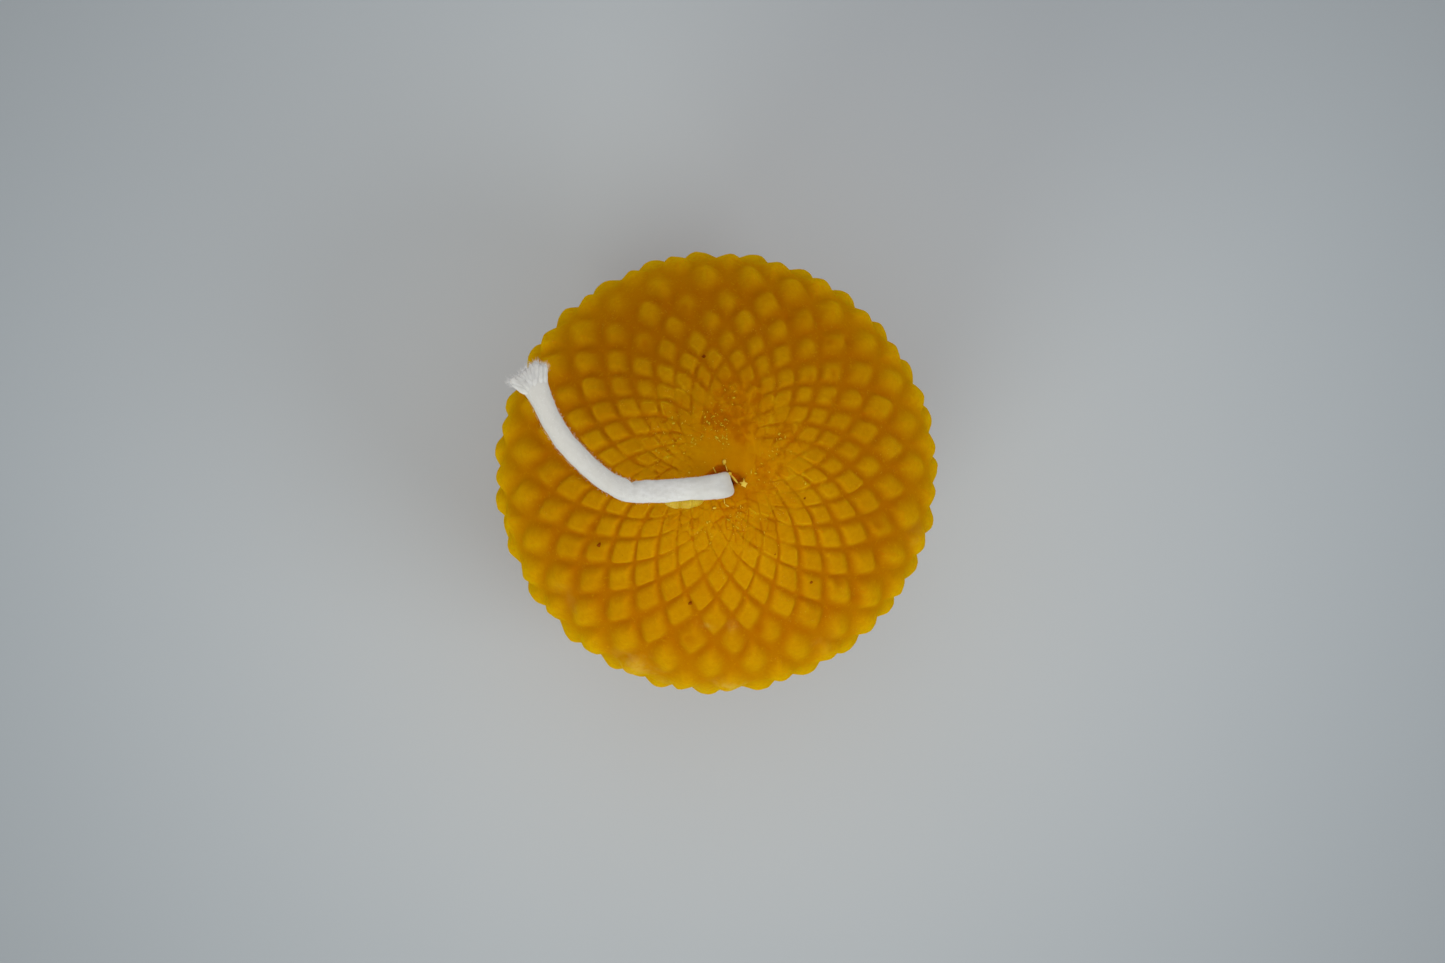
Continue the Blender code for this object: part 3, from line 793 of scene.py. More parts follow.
    for zc, rc in ((0.8, 1.78), (8.0, 1.70), (24.0, 1.60), (42.0, 1.58), (60.0, 1.56), (70.0, 1.54), (75.2, 1.50)):
        ids.append(put_ring(chan(zc * MM, rc * MM, th)))
        cav_parts.append(np.full(n, 1.0))
        tile_parts.append(np.full(n, 0.5))
    first = ids[0]
    tris.append(np.stack([prev + np.arange(n), first[0] + np.arange(n), first[0] + (np.arange(n) + 1) % n], axis=1))
    tris.append(np.stack([prev + np.arange(n), first[0] + (np.arange(n) + 1) % n, prev + (np.arange(n) + 1) % n], axis=1))
    for (s0, _), (s1, _) in zip(ids, ids[1:]):
        j = np.arange(n)
        k = (j + 1) % n
        tris.append(np.stack([s0 + j, s1 + j, s1 + k], axis=1))
        tris.append(np.stack([s0 + j, s1 + k, s0 + k], axis=1))
    # mouth walls, from the channel's last ring up to the mouth's outline
    th_m = angles(coarse_n, 0.0)
    m0, _ = mouth_ring
    rim_xyz = verts[0]
    wall = []
    for t in (0.96, 0.84, 0.70, 0.54, 0.38, 0.24, 0.12, 0.05):
        # 1 at the channel, 0 at the outline: a rough funnel, steep near the outline
        zc = HEIGHT - 1.3 * MM
        f = zc / HEIGHT
        bottom = np.stack([WICK_EXIT[0] * f + 1.50 * MM * np.cos(th_m), WICK_EXIT[1] * f + 1.50 * MM * np.sin(th_m), np.full(n, zc)], axis=1)
        g = t ** 1.5
        xyz = rim_xyz * (1 - g) + bottom * g
        xyz[:, 2] = rim_xyz[:, 2] * (1 - t ** 0.75) + zc * t ** 0.75
        crumble = 0.16 * MM * fbm(xyz, 0.0009, 97, 2) * sin(pi * t)
        xyz[:, 0] += crumble * np.cos(th_m)
        xyz[:, 1] += crumble * np.sin(th_m)
        wall.append(put_ring(xyz))
        # The walls of the hole take the full groove colour (painted shade) and, through deep, a redder painted glow.
        deep_parts[len(cav_parts)] = np.full(n, min(1.0, 0.35 + t))
        cav_parts.append(np.full(n, 1.0))
        tile_parts.append(np.full(n, 0.5))
    # channel's last ring (may be turned by half a step) to the wall's lowest ring
    chain = [ids[-1]] + wall + [mouth_ring]
    for (s0, _), (s1, _) in zip(chain, chain[1:]):
        j = np.arange(n)
        k = (j + 1) % n
        tris.append(np.stack([s0 + j, s1 + j, s1 + k], axis=1))
        tris.append(np.stack([s0 + j, s1 + k, s0 + k], axis=1))

    V = np.concatenate(verts)
    T = np.concatenate(tris)
    cav = np.concatenate(cav_parts)
    tile = np.concatenate(tile_parts)
    dent_tint_and_edge_highlight = np.concatenate([dent_tint_and_edge_highlight_parts.get(i, np.zeros(len(c))) for i, c in enumerate(cav_parts)])
    deep = np.concatenate([deep_parts.get(i, np.zeros(len(c))) for i, c in enumerate(cav_parts)])
    bloom = np.zeros(len(V))
    for x, y, z, rad_b, strength in BLOOM:
        d2 = ((V - np.array([x, y, z]) * MM) ** 2).sum(axis=1) / (rad_b * MM) ** 2
        bloom = np.maximum(bloom, strength * np.exp(-d2))
    bloom *= 0.75 + 0.45 * fbm(V, 0.0016, 121, 3)
    rho = np.linalg.norm(V[:, :2], axis=1)
    # rim: painted light. The outer rows and the side below the widest part are painted yellower and paler, standing in
    # for light coming through the thin outer wax and falling on the steep sides, a little less toward the foot.
    rim = smoothstep(rho, 0.0225, 0.0300)
    rim = np.where(V[:, 2] < EQUATOR, smoothstep(V[:, 2], 0.0, 0.004) * (1 - 0.35 * smoothstep(V[:, 2], EQUATOR, 0.0)), rim)
    rim = rim * (rho > 0.010)
    reset = np.zeros(len(V))
    for wx, wy, ws_, wk in WORN:
        reset = np.maximum(reset, wk * np.exp(-(((V[:, 0] / MM - wx) ** 2 + (V[:, 1] / MM - wy) ** 2) / (ws_ + 0.6) ** 2) ** 1.5))
    reset = np.where(V[:, 2] > 0.5 * HEIGHT, np.clip(reset * (1.0 + 0.45 * fbm(V, 0.0022, 131, 3)), 0, 1), 0)
    # cast a touch out of round
    lean = np.sin(pi * np.clip(V[:, 2] / 0.070, 0, 1)) ** 2
    V[:, 0] -= 0.14 * MM * lean
    V[:, 1] += 0.18 * MM * lean
    print("wax", len(V), len(T), "bounds", V.min(0), V.max(0))
    ob = mesh_from("wax_body", V, T, material, attrs={"cavity": cav, "tile": tile, "bloom": np.clip(bloom, 0, 1), "rim": rim, "dent_tint_and_edge_highlight": dent_tint_and_edge_highlight, "deep": deep, "reset": reset})
    flip_if_inside_out(ob)
    return ob


# ------------------------------------------------------------- wax: material
def wax_material():
    n = Nodes("beeswax")
    co = n.coords()
    sh = n.shader
    cav = n.attr("cavity")
    tile = n.attr("tile")
    bloom = n.attr("bloom")
    rim = n.attr("rim")
    # colour: paler tile tops, darker and deeper orange in the grooves, where the groove colour is painted shade
    low = n.noise(co, 140.0, 4.0, 0.55)
    mid = n.noise(co, 620.0, 4.0, 0.6)
    fine = n.noise(co, 2600.0, 2.0, 0.6)
    grooved = n.math("ADD", cav, n.math("MULTIPLY", n.math("SUBTRACT", mid, 0.5), 0.35), clamp=True)
    top = n.mix(n.span(low, 0.30, 0.70), (0.530, 0.231, 0.0008), (0.594, 0.284, 0.0012))
    top = n.mix(n.math("MULTIPLY", tile, 0.30), top, (0.512, 0.207, 0.0008))
    base = n.mix(n.span(grooved, 0.05, 1.0), top, (0.458, 0.147, 0.0005))
    # Painted light on the rim: yellower and paler toward the outer rows and down the side, less so in the grooves.
    base = n.mix(n.math("MULTIPLY", n.math("MULTIPLY", rim, n.span(grooved, 0.10, 1.0, 1.0, 0.55)), 0.75), base, (0.660, 0.352, 0.0012))
    base = n.mix(n.math("MULTIPLY", n.span(rim, 0.80, 0.98), 0.45), base, (0.690, 0.420, 0.0016))
    base = n.mix(n.math("MULTIPLY", n.span(n.noise(co, 1500.0, 4.0, 0.65), 0.58, 0.36), 0.26), base, (0.450, 0.158, 0.0006))
    base = n.mix(n.math("MULTIPLY", n.span(n.noise(co, 2100.0, 4.0, 0.68), 0.56, 0.70), 0.30), base, (0.690, 0.385, 0.0030))
    # Re-set wax round the tip: its own orange, painted darker in the hollows through cavity (painted shade).
    again = n.mix(n.span(n.math("ADD", n.math("MULTIPLY", cav, 0.60), n.math("MULTIPLY", mid, 0.55)), 0.22, 0.62), (0.610, 0.238, 0.0008), (0.500, 0.148, 0.0005))
    base = n.mix(n.math("MULTIPLY", n.attr("reset"), n.span(low, 0.30, 0.62, 0.55, 0.88)), base, again)
    # Darker and redder in and round the dents.
    base = n.mix(n.math("MULTIPLY", n.attr("dent_tint_and_edge_highlight"), 0.55), base, (0.440, 0.122, 0.0006))
    # Painted highlight: paler along the raised tile edges.
    base = n.mix(n.math("MULTIPLY", n.math("MULTIPLY", n.attr("dent_tint_and_edge_highlight"), -0.50), n.span(mid, 0.30, 0.60, 0.45, 1.0), clamp=True), base, (0.700, 0.430, 0.0060))
    # Painted glow: the walls of the hole are painted a brighter red, standing in for light coming through the wax.
    base = n.mix(n.attr("deep"), base, (0.780, 0.200, 0.0025))
    # darker, redder flecks and pale dust
    fleck = n.voronoi(co, 520.0)
    dark = n.math("MULTIPLY", n.span(fleck, 0.07, 0.02), n.span(n.noise(co, 90.0, 1.0), 0.52, 0.66))
    base = n.mix(n.math("MULTIPLY", dark, 0.55), base, (0.22, 0.075, 0.002))
    grain = n.math("MULTIPLY", n.span(n.voronoi(co, 2300.0), 0.24, 0.10), n.span(n.noise(co, 330.0, 3.0, 0.6), 0.56, 0.68))
    base = n.mix(n.math("MULTIPLY", grain, 0.55), base, (0.74, 0.46, 0.05))
    dust = n.math("MULTIPLY", bloom, n.span(mid, 0.35, 0.65))
    base = n.mix(n.math("MULTIPLY", dust, 0.65), base, (0.715, 0.500, 0.110))
    n.join(base, sh.inputs["Base Color"])
    rough = n.span(n.math("ADD", mid, n.math("MULTIPLY", grain, 0.5)), 0.25, 0.8, 0.40, 0.60)
    n.join(rough, sh.inputs["Roughness"])
    sh.inputs["IOR"].default_value = 1.44
    sh.inputs["Specular IOR Level"].default_value = 0.0
    sh.subsurface_method = "RANDOM_WALK"
    sh.inputs["Subsurface Weight"].default_value = 0.5
    sh.inputs["Subsurface Radius"].default_value = (1.0, 0.42, 0.06)
    sh.inputs["Subsurface Scale"].default_value = 0.0013
    # fine casting texture
    b1 = n.bump(n.noise(co, 900.0, 5.0, 0.62), 0.30, 0.00012)
    b2 = n.bump(fine, 0.30, 0.00004, b1)
    b3 = n.bump(grain, 0.6, 0.00008, b2)
    n.join(b3, sh.inputs["Normal"])
    return n.mat


def bead_material():
    n = Nodes("beeswax_bead")
    co = n.coords()
    sh = n.shader
    col = n.mix(n.span(n.noise(co, 900.0, 3.0), 0.35, 0.65), (0.62, 0.390, 0.010), (0.71, 0.490, 0.028))
    n.join(col, sh.inputs["Base Color"])
    n.join(n.span(n.noise(co, 1500.0, 2.0), 0.3, 0.7, 0.30, 0.45), sh.inputs["Roughness"])
    sh.inputs["Specular IOR Level"].default_value = 0.3
    sh.inputs["Subsurface Weight"].default_value = 0.6
    sh.inputs["Subsurface Radius"].default_value = (1.0, 0.7, 0.15)
    sh.inputs["Subsurface Scale"].default_value = 0.0012
    n.join(n.bump(n.noise(co, 1800.0, 3.0), 0.3, 0.00006), sh.inputs["Normal"])
    return n.mat


def crumb_material():
    n = Nodes("wax_crumb")
    co = n.coords()
    sh = n.shader
    n.join(n.mix(n.span(n.noise(co, 1700.0, 2.0), 0.35, 0.65), (0.745, 0.495, 0.028), (0.870, 0.630, 0.080)), sh.inputs["Base Color"])
    n.join(n.span(n.noise(co, 2400.0, 2.0), 0.3, 0.7, 0.40, 0.60), sh.inputs["Roughness"])
    sh.inputs["Specular IOR Level"].default_value = 0.2
    n.join(n.bump(n.noise(co, 2600.0, 3.0), 0.3, 0.00004), sh.inputs["Normal"])
    return n.mat


def grain_material():
    n = Nodes("wax_grain")
    co = n.coords()
    sh = n.shader
    n.join(n.mix(n.span(n.noise(co, 1600.0, 2.0), 0.35, 0.65), (0.660, 0.375, 0.006), (0.780, 0.520, 0.025)), sh.inputs["Base Color"])
    n.join(n.span(n.noise(co, 3000.0, 2.0), 0.3, 0.7, 0.45, 0.65), sh.inputs["Roughness"])
    sh.inputs["Specular IOR Level"].default_value = 0.1
    sh.inputs["Subsurface Weight"].default_value = 0.3
    sh.inputs["Subsurface Radius"].default_value = (1.0, 0.6, 0.1)
    sh.inputs["Subsurface Scale"].default_value = 0.0005
    return n.mat


def speck_material():
    n = Nodes("wax_speck")
    co = n.coords()
    sh = n.shader
    n.join(n.mix(n.span(n.noise(co, 2500.0, 2.0), 0.35, 0.65), (0.230, 0.050, 0.002), (0.330, 0.085, 0.003)), sh.inputs["Base Color"])
    n.join(n.span(n.noise(co, 3000.0, 2.0), 0.3, 0.7, 0.75, 0.95), sh.inputs["Roughness"])
    sh.inputs["Specular IOR Level"].default_value = 0.0
    return n.mat


def cotton_material():
    n = Nodes("wick_cotton")
    co = n.coords()
    sh = n.shader
    s = n.attr("along")       # metres along the wick
    t = n.attr("turn")        # 0..1 round the wick
    vec = n.add("ShaderNodeCombineXYZ")
    n.put(vec.inputs[0], n.math("MULTIPLY", s, 420.0))
    n.put(vec.inputs[1], n.math("MULTIPLY", n.math("ABSOLUTE", n.math("SUBTRACT", t, 0.5)), 26.0))
    streak = n.noise(vec.outputs[0], 1.0, 4.0, 0.65)
    patch = n.noise(co, 300.0, 3.0, 0.55)
    strand = n.attr("strand")
    col = n.mix(n.span(patch, 0.30, 0.70), (0.760, 0.758, 0.718), (0.854, 0.858, 0.828))
    col = n.mix(n.math("MULTIPLY", n.span(streak, 0.62, 0.30), 0.35), col, (0.66, 0.65, 0.61))
    # Painted shade: darker between the braid's strands.
    col = n.mix(n.math("MULTIPLY", strand, 0.30), col, (0.62, 0.61, 0.56))
    col = n.mix(n.math("MULTIPLY", n.span(n.noise(co, 1250.0, 4.0, 0.62), 0.60, 0.36), 0.34), col, (0.60, 0.59, 0.55))
    # a little duller from the fold on
    col = n.mix(n.math("MULTIPLY", n.span(s, 0.0130, 0.0190), n.span(patch, 0.2, 0.8, 0.45, 0.95)), col, (0.645, 0.630, 0.575))
    col = n.mix(n.math("MULTIPLY", n.span(s, 0.0095, 0.0045), 0.55), col, (0.660, 0.655, 0.600))
    waxed = n.attr("waxed")
    col = n.mix(n.math("MULTIPLY", waxed, n.span(patch, 0.25, 0.75, 0.25, 0.8)), col, (0.70, 0.60, 0.30))
    n.join(col, sh.inputs["Base Color"])
    n.join(n.span(streak, 0.2, 0.8, 0.80, 0.95), sh.inputs["Roughness"])
    sh.inputs["Specular IOR Level"].default_value = 0.15
    sh.inputs["Sheen Weight"].default_value = 0.15
    sh.inputs["Sheen Roughness"].default_value = 0.5
    sh.inputs["Subsurface Weight"].default_value = 0.25
    sh.inputs["Subsurface Radius"].default_value = (1.0, 0.95, 0.85)
    sh.inputs["Subsurface Scale"].default_value = 0.0004
    b1 = n.bump(streak, 0.5, 0.00007)
    b2 = n.bump(n.noise(co, 4200.0, 4.0, 0.7), 0.55, 0.00006, b1)
    n.join(b2, sh.inputs["Normal"])
    return n.mat


def yarn_material():
    n = Nodes("wick_yarn")
    co = n.coords()
    sh = n.shader
    col = n.mix(n.span(n.noise(co, 700.0, 3.0), 0.3, 0.7), (0.86, 0.86, 0.84), (0.94, 0.94, 0.93))
    n.join(col, sh.inputs["Base Color"])
    n.join(n.span(n.noise(co, 1500.0, 2.0), 0.3, 0.7, 0.85, 0.97), sh.inputs["Roughness"])
    sh.inputs["Specular IOR Level"].default_value = 0.1
    sh.inputs["Sheen Weight"].default_value = 0.3
    return n.mat


YARN = yarn_material()
WAX = wax_material()
BEAD = bead_material()
SPECK = speck_material()
GRAIN = grain_material()
CRUMB = crumb_material()
COTTON = cotton_material()


# ---------------------------------------------------------------------- wick
def wick_section(S, P, flat=0.90, seed=5, free=False):
    """Offsets of a braided, slightly flattened wick: strands crossing in both directions."""
    R = 0.5 * WICK_DIAMETER
    k = 2 * pi / 0.0052
    n = 5
    f1 = np.sin(n * P + k * S * 1.0)
    f2 = np.sin(n * P - k * S * 1.0)
    over = np.sin(0.5 * (n * P + k * S)) * np.sin(0.5 * (n * P - k * S))
    w = 0.5 + 0.5 * np.tanh(2.0 * over)
    strand = w * np.abs(f1) + (1 - w) * np.abs(f2)
    pts = np.stack([np.cos(P).ravel() * R, np.sin(P).ravel() * R, S.ravel()], axis=1)
    lumps = fbm(pts, 0.0019, seed, 3).reshape(P.shape)
    fibre = fbm(pts * np.array([1.0, 1.0, 0.35]), 0.00032, seed + 9, 2).reshape(P.shape)
    rad = R * (0.955 + 0.022 * strand + 0.060 * lumps + 0.022 * fibre)
    c, s = np.cos(P), np.sin(P)
    e = 2.35
    if free:
        e = 2.35 + 2.6 * smoothstep(S, 0.0040, 0.0012)
        rad = rad * (1.0 + 0.08 * smoothstep(S, 0.0060, 0.0015) - 0.105 * smoothstep(S, 0.0085, 0.0170))
    sup = (np.abs(c) ** e + np.abs(s) ** e) ** (-1 / e)
    return rad * sup * c, rad * sup * s * flat, strand


FOLD_AT = 14.3 * MM                       # where the wick was folded over


def free_wick():
    core_top = (WICK_EXIT[0] * (HEIGHT - 0.004) / HEIGHT, WICK_EXIT[1] * (HEIGHT - 0.004) / HEIGHT, HEIGHT - 0.004)
    line = smooth_curve([core_top] + route_points(), 0.00013)
    start = int(np.argmin(np.linalg.norm(line - np.array(route_points()[0]), axis=1)))
    path = line[start:]
    below = line[start - 13:]                # the tube starts a little way down in the mouth
    lead = float(np.linalg.norm(np.diff(line[start - 13:start + 1], axis=0), axis=1).sum())
    seg = np.linalg.norm(np.diff(path, axis=0), axis=1)
    total = float(seg.sum())
    strand_box = {}

    def section(S, P):
        S = S - lead
        a, b, strand = wick_section(S, P, free=True)
        strand_box["v"] = strand
        # tip: rounds off and spreads a little
        e = (total - S) / MM
        spread = 1 + 0.34 * np.exp(-((e - 1.4) / 1.5) ** 2)
        close = np.clip(e / 1.5, 0.002, 1) ** 0.50
        # sharp crease on the inner side of the fold, slack on the outer side
        c = np.cos(P)
        inner = np.clip(-c, 0, 1) ** 1.3
        outer = np.clip(c, 0, 1)
        f = (S - FOLD_AT) / MM
        crease = 1 - 0.31 * inner * np.exp(-(f / 0.60) ** 2) + 0.05 * inner * (np.exp(-((f - 2.2) / 0.9) ** 2) + np.exp(-((f + 2.2) / 0.9) ** 2))
        crease = crease + 0.10 * outer * np.exp(-((f - 0.2) / 1.9) ** 2)
        return a * spread * close * crease, b * close * (0.76 + 0.24 * smoothstep(e, 0.0, 3.0)) * (1 - 0.06 * np.exp(-(f / 0.9) ** 2))

    verts, tris, quads, (S, P) = tube(below, section, 44)
    S = S - lead
    strand = strand_box["v"]
    n_extra = len(verts) - S.size
    along = np.concatenate([S.ravel(), [0, total][:n_extra]])
    turn = np.concatenate([(P / (2 * pi)).ravel(), np.zeros(n_extra)])
    st = np.concatenate([(1 - strand).ravel(), np.zeros(n_extra)])
    # wax soaked into the wick near the mouth
    waxed = np.exp(-(along / (1.6 * MM)) ** 2) * 0.7
    low = np.concatenate([np.clip(-np.cos(P - radians(0)), 0, 1).ravel(), np.zeros(n_extra)])
    waxed = np.clip(waxed, 0, 1)
    ob = mesh_from("wick_free", verts, tris, COTTON, quads=quads,
                   attrs={"along": along, "turn": turn, "strand": st, "waxed": waxed})
    flip_if_inside_out(ob)
    return ob, path, total


def wick_core():
    """The wick inside the wax, trimmed level just above the base plane."""
    z = np.linspace(WICK_END_GAP, HEIGHT - 0.0012, 250)
    path = np.stack([WICK_EXIT[0] * z / HEIGHT, WICK_EXIT[1] * z / HEIGHT, z], axis=1)
    box = {}

    def section(S, P):
        a, b, strand = wick_section(S, P, 1.0, 15)
        box["v"] = strand
        k = 0.95
        return a * k * 0.93, b * k * 0.93

    verts, tris, quads, (S, P) = tube(path, section, 28)
    n_extra = len(verts) - S.size
    n0 = S.size
    along = np.concatenate([S.ravel(), np.zeros(n_extra)])
    turn = np.concatenate([(P / (2 * pi)).ravel(), np.zeros(n_extra)])
    st = np.concatenate([(1 - box["v"]).ravel(), np.zeros(n_extra)])
    ob = mesh_from("wick_core", verts, tris, COTTON, quads=quads,
                   attrs={"along": along, "turn": turn, "strand": st, "waxed": np.full(len(verts), 0.9)})
    flip_if_inside_out(ob)
    return ob


def fibre_mesh(name, starts, dirs, lengths, widths, curls, seed, material, segments=5, droop=0.0, waxed=0.0):
    """Many fine tapered three-sided fibres in one mesh."""
    V, T, along = [], [], []
    base = 0
    for i in range(len(starts)):
        d = dirs[i] / np.linalg.norm(dirs[i])
        ref = np.array([0.0, 0.0, 1.0]) if abs(d[2]) < 0.8 else np.array([1.0, 0.0, 0.0])
        e1 = np.cross(d, ref)
        e1 /= np.linalg.norm(e1)
        e2 = np.cross(d, e1)
        c1, c2 = curls[i]
        for k in range(segments + 1):
            t = k / segments
            p = starts[i] + d * lengths[i] * t + (e1 * c1 + e2 * c2) * lengths[i] * t * t
            p = p + np.array([0, 0, -droop * lengths[i] * t * t])
            w = widths[i] * (1 - 0.75 * t)
            for m in range(3):
                a = 2 * pi * m / 3
                V.append(p + w * (cos(a) * e1 + sin(a) * e2))
                along.append(t)
        for k in range(segments):
            for m in range(3):
                a0, a1 = base + 3 * k + m, base + 3 * k + (m + 1) % 3
                b0, b1 = a0 + 3, a1 + 3
                T.append((a0, a1, b1))
                T.append((a0, b1, b0))
        T.append((base, base + 2, base + 1))
        e = base + 3 * segments
        T.append((e, e + 1, e + 2))
        base += 3 * (segments + 1)
    ob = mesh_from(name, np.array(V), T, material,
                   attrs={"along": np.array(along) * 0.01, "turn": np.full(len(V), 0.3), "strand": np.zeros(len(V)),
                          "waxed": np.full(len(V), waxed)})
    flip_if_inside_out(ob)
    return ob


def wick_fuzz(path):
    rng = np.random.default_rng(4021)
    tan, side, up = frames_along(path)
    count = 1500
    idx = rng.integers(6, len(path) - 4, count)
    ang = rng.uniform(0, 2 * pi, count)
    R = 0.5 * WICK_DIAMETER
    e = 2.35
    c, s = np.cos(ang), np.sin(ang)
    sup = (np.abs(c) ** e + np.abs(s) ** e) ** (-1 / e)
    out = c[:, None] * side[idx] + s[:, None] * up[idx]
    start = path[idx] + 0.93 * R * sup[:, None] * (c[:, None] * side[idx] + 0.9 * s[:, None] * up[idx])
    lean = rng.normal(0, 1.0, (count, 1)) * tan[idx]
    dirs = out * 0.6 + lean * 0.9 + rng.normal(0, 0.25, (count, 3))
    lengths = rng.uniform(0.10, 0.34, count) * MM
    widths = rng.uniform(0.010, 0.018, count) * MM
    curls = rng.normal(0, 0.35, (count, 2))
    return fibre_mesh("wick_fuzz", start, dirs, lengths, widths, curls, 1, YARN)


def wick_tuft(path):
    """The frayed end: yarn ends that fan out to the left and onward."""
    rng = np.random.default_rng(77)
    end = path[-1]
    starts, dirs, lengths, widths, curls = [], [], [], [], []

    def bundle(count, base, direction, length, width, spread=0.10, room=(0.28, 0.28, 0.45)):
        for _ in range(count):
            starts.append(end + MM * (np.array(base) + rng.normal(0, 0.55, 3) * np.array(room)))
            dirs.append(np.array(direction) + rng.normal(0, spread, 3))
            lengths.append(length * MM * rng.uniform(0.70, 1.10))
            widths.append(width * MM * rng.uniform(0.7, 1.25))
            curls.append(rng.normal(0, 0.15, 2))

    lobes = (                                # base, middle, tip in mm from the path's end, thickness
        ((0.55, -3.00, 0.20), (-0.85, -1.80, 0.30), (-1.95, -1.42, 0.10), 0.76),
        ((0.65, -3.00, 0.30), (-0.80, -1.50, 0.36), (-2.25, -1.16, 0.12), 0.78),
        ((0.70, -2.90, 0.40), (-0.60, -1.30, 0.40), (-1.62, -0.78, 0.12), 0.78),
        ((0.70, -2.90, 0.45), (-0.35, -1.10, 0.42), (-1.05, -0.32, 0.14), 0.78),
        ((0.80, -2.90, 0.48), (-0.05, -0.95, 0.44), (-0.60, 0.10, 0.14), 0.78),
        ((0.90, -2.90, 0.48), (0.30, -0.90, 0.44), (-0.08, 0.42, 0.16), 0.78),
        ((1.10, -2.90, 0.46), (0.65, -0.80, 0.42), (0.42, 0.86, 0.14), 0.76),
        ((1.30, -2.90, 0.42), (1.00, -0.70, 0.38), (0.90, 1.12, 0.12), 0.74),
        ((1.55, -2.90, 0.36), (1.38, -0.80, 0.32), (1.42, 0.86, 0.10), 0.74),
        ((1.85, -3.00, 0.24), (1.78, -0.90, 0.22), (1.92, 0.86, 0.04), 0.70),
    )
    V, T, Q, along, turn, strand = [], [], [], [], [], []
    base = 0
    for m, (p0, p1, p2, thick) in enumerate(lobes):
        t = np.linspace(0, 1, 46)[:, None]
        line = end + MM * ((1 - t) ** 2 * np.array(p0) + 2 * t * (1 - t) * (2 * np.array(p1) - 0.5 * (np.array(p0) + np.array(p2))) + t ** 2 * np.array(p2))
        length = float(np.linalg.norm(np.diff(line, axis=0), axis=1).sum())

        def section(S, P, m=m, thick=thick, length=length):
            f = S / length
            late = (0.00, 0.10, 0.02, 0.16, 0.06, 0.20, 0.03, 0.14, 0.05, 0.11)[m]
            rad = 0.93 * thick * MM * (1 - 0.46 * f ** 1.8) * np.sqrt(np.clip(1 - np.clip((f - 0.86) / 0.14, 0, 1) ** 2, 0.03, 1)) * smoothstep(f, -0.06 + late, 0.52 + late)
            pts = np.stack([np.cos(P).ravel(), np.sin(P).ravel(), S.ravel() / MM * 0.35], axis=1)
            ply = fbm(pts, 0.42, 600 + m, 3).reshape(P.shape)
            rad = rad * (1 + 0.22 * ply + 0.05 * np.sin(9 * P + 3 * f))
            return rad * np.cos(P), rad * np.sin(P) * 0.85

        v, t3, q4, (S, P) = tube(line, section, 26)
        extra = len(v) - S.size
        V.append(v)
        T.append(t3 + base)
        Q.append(q4 + base)
        along.append(np.concatenate([S.ravel(), np.zeros(extra)]) + (5.0 if m < 3 else 11.0) * MM)
        turn.append(np.concatenate([(P / (2 * pi)).ravel(), np.zeros(extra)]))
        strand.append(np.concatenate([(0.25 + 0.25 * np.cos(5 * P)).ravel(), np.zeros(extra)]))
        base += len(v)
        out = (np.array(p2) - np.array(p1)) / np.linalg.norm(np.array(p2) - np.array(p1))
        for back, size, spread, width, number in ((0.45, 0.70, 0.30, 0.036, 26), (0.30, 0.72, 0.42, 0.020, 40), (0.9, 0.9, 0.34, 0.018, 24)):
            tip = tuple(np.array(p2) - out * back + np.array([0, 0, 0.06]))
            bundle(number, tip, out, size, width, spread, (0.34 * thick, 0.34 * thick, 0.20))
    lobes_ob = mesh_from("wick_ends", np.concatenate(V), np.concatenate(T), COTTON, quads=np.concatenate(Q),
                         attrs={"along": np.concatenate(along), "turn": np.concatenate(turn), "strand": np.concatenate(strand),
                                "waxed": np.zeros(base)})
    flip_if_inside_out(lobes_ob)
    fibres = fibre_mesh("wick_tuft", np.array(starts), np.array(dirs), np.array(lengths), np.array(widths), np.array(curls), 2, YARN, segments=6)
    return lobes_ob, fibres


def blob(center, radii, seed, axes=None, detail=3, rough=0.25, spikes=0.0):
    """A small irregular lump as (verts, tris)."""
    import bmesh
    bm = bmesh.new()
    bmesh.ops.create_icosphere(bm, subdivisions=detail, radius=1.0)
    v = np.array([x.co[:] for x in bm.verts])
    f = np.array([[x.index for x in face.verts] for face in bm.faces])
    bm.free()
    q = v * 1.0
    k = 1 + rough * noise3(q[:, 0] * 1.4 + seed, q[:, 1] * 1.4, q[:, 2] * 1.4, seed) + 0.5 * rough * noise3(q[:, 0] * 3 + seed, q[:, 1] * 3, q[:, 2] * 3, seed + 5)
    if spikes:
        k = k + spikes * np.clip(noise3(q[:, 0] * 2.1, q[:, 1] * 2.1 + seed, q[:, 2] * 2.1, seed + 3), 0, 1) ** 2
    v = v * k[:, None] * np.array(radii)
    if axes is not None:
        v = v @ np.array(axes)
    return v + np.array(center), f


def join_blobs(name, parts, material):
    V, T, base = [], [], 0
    for v, f in parts:
        V.append(v)
        T.append(f + base)
        base += len(v)
    ob = mesh_from(name, np.concatenate(V), np.concatenate(T), material)
    return ob


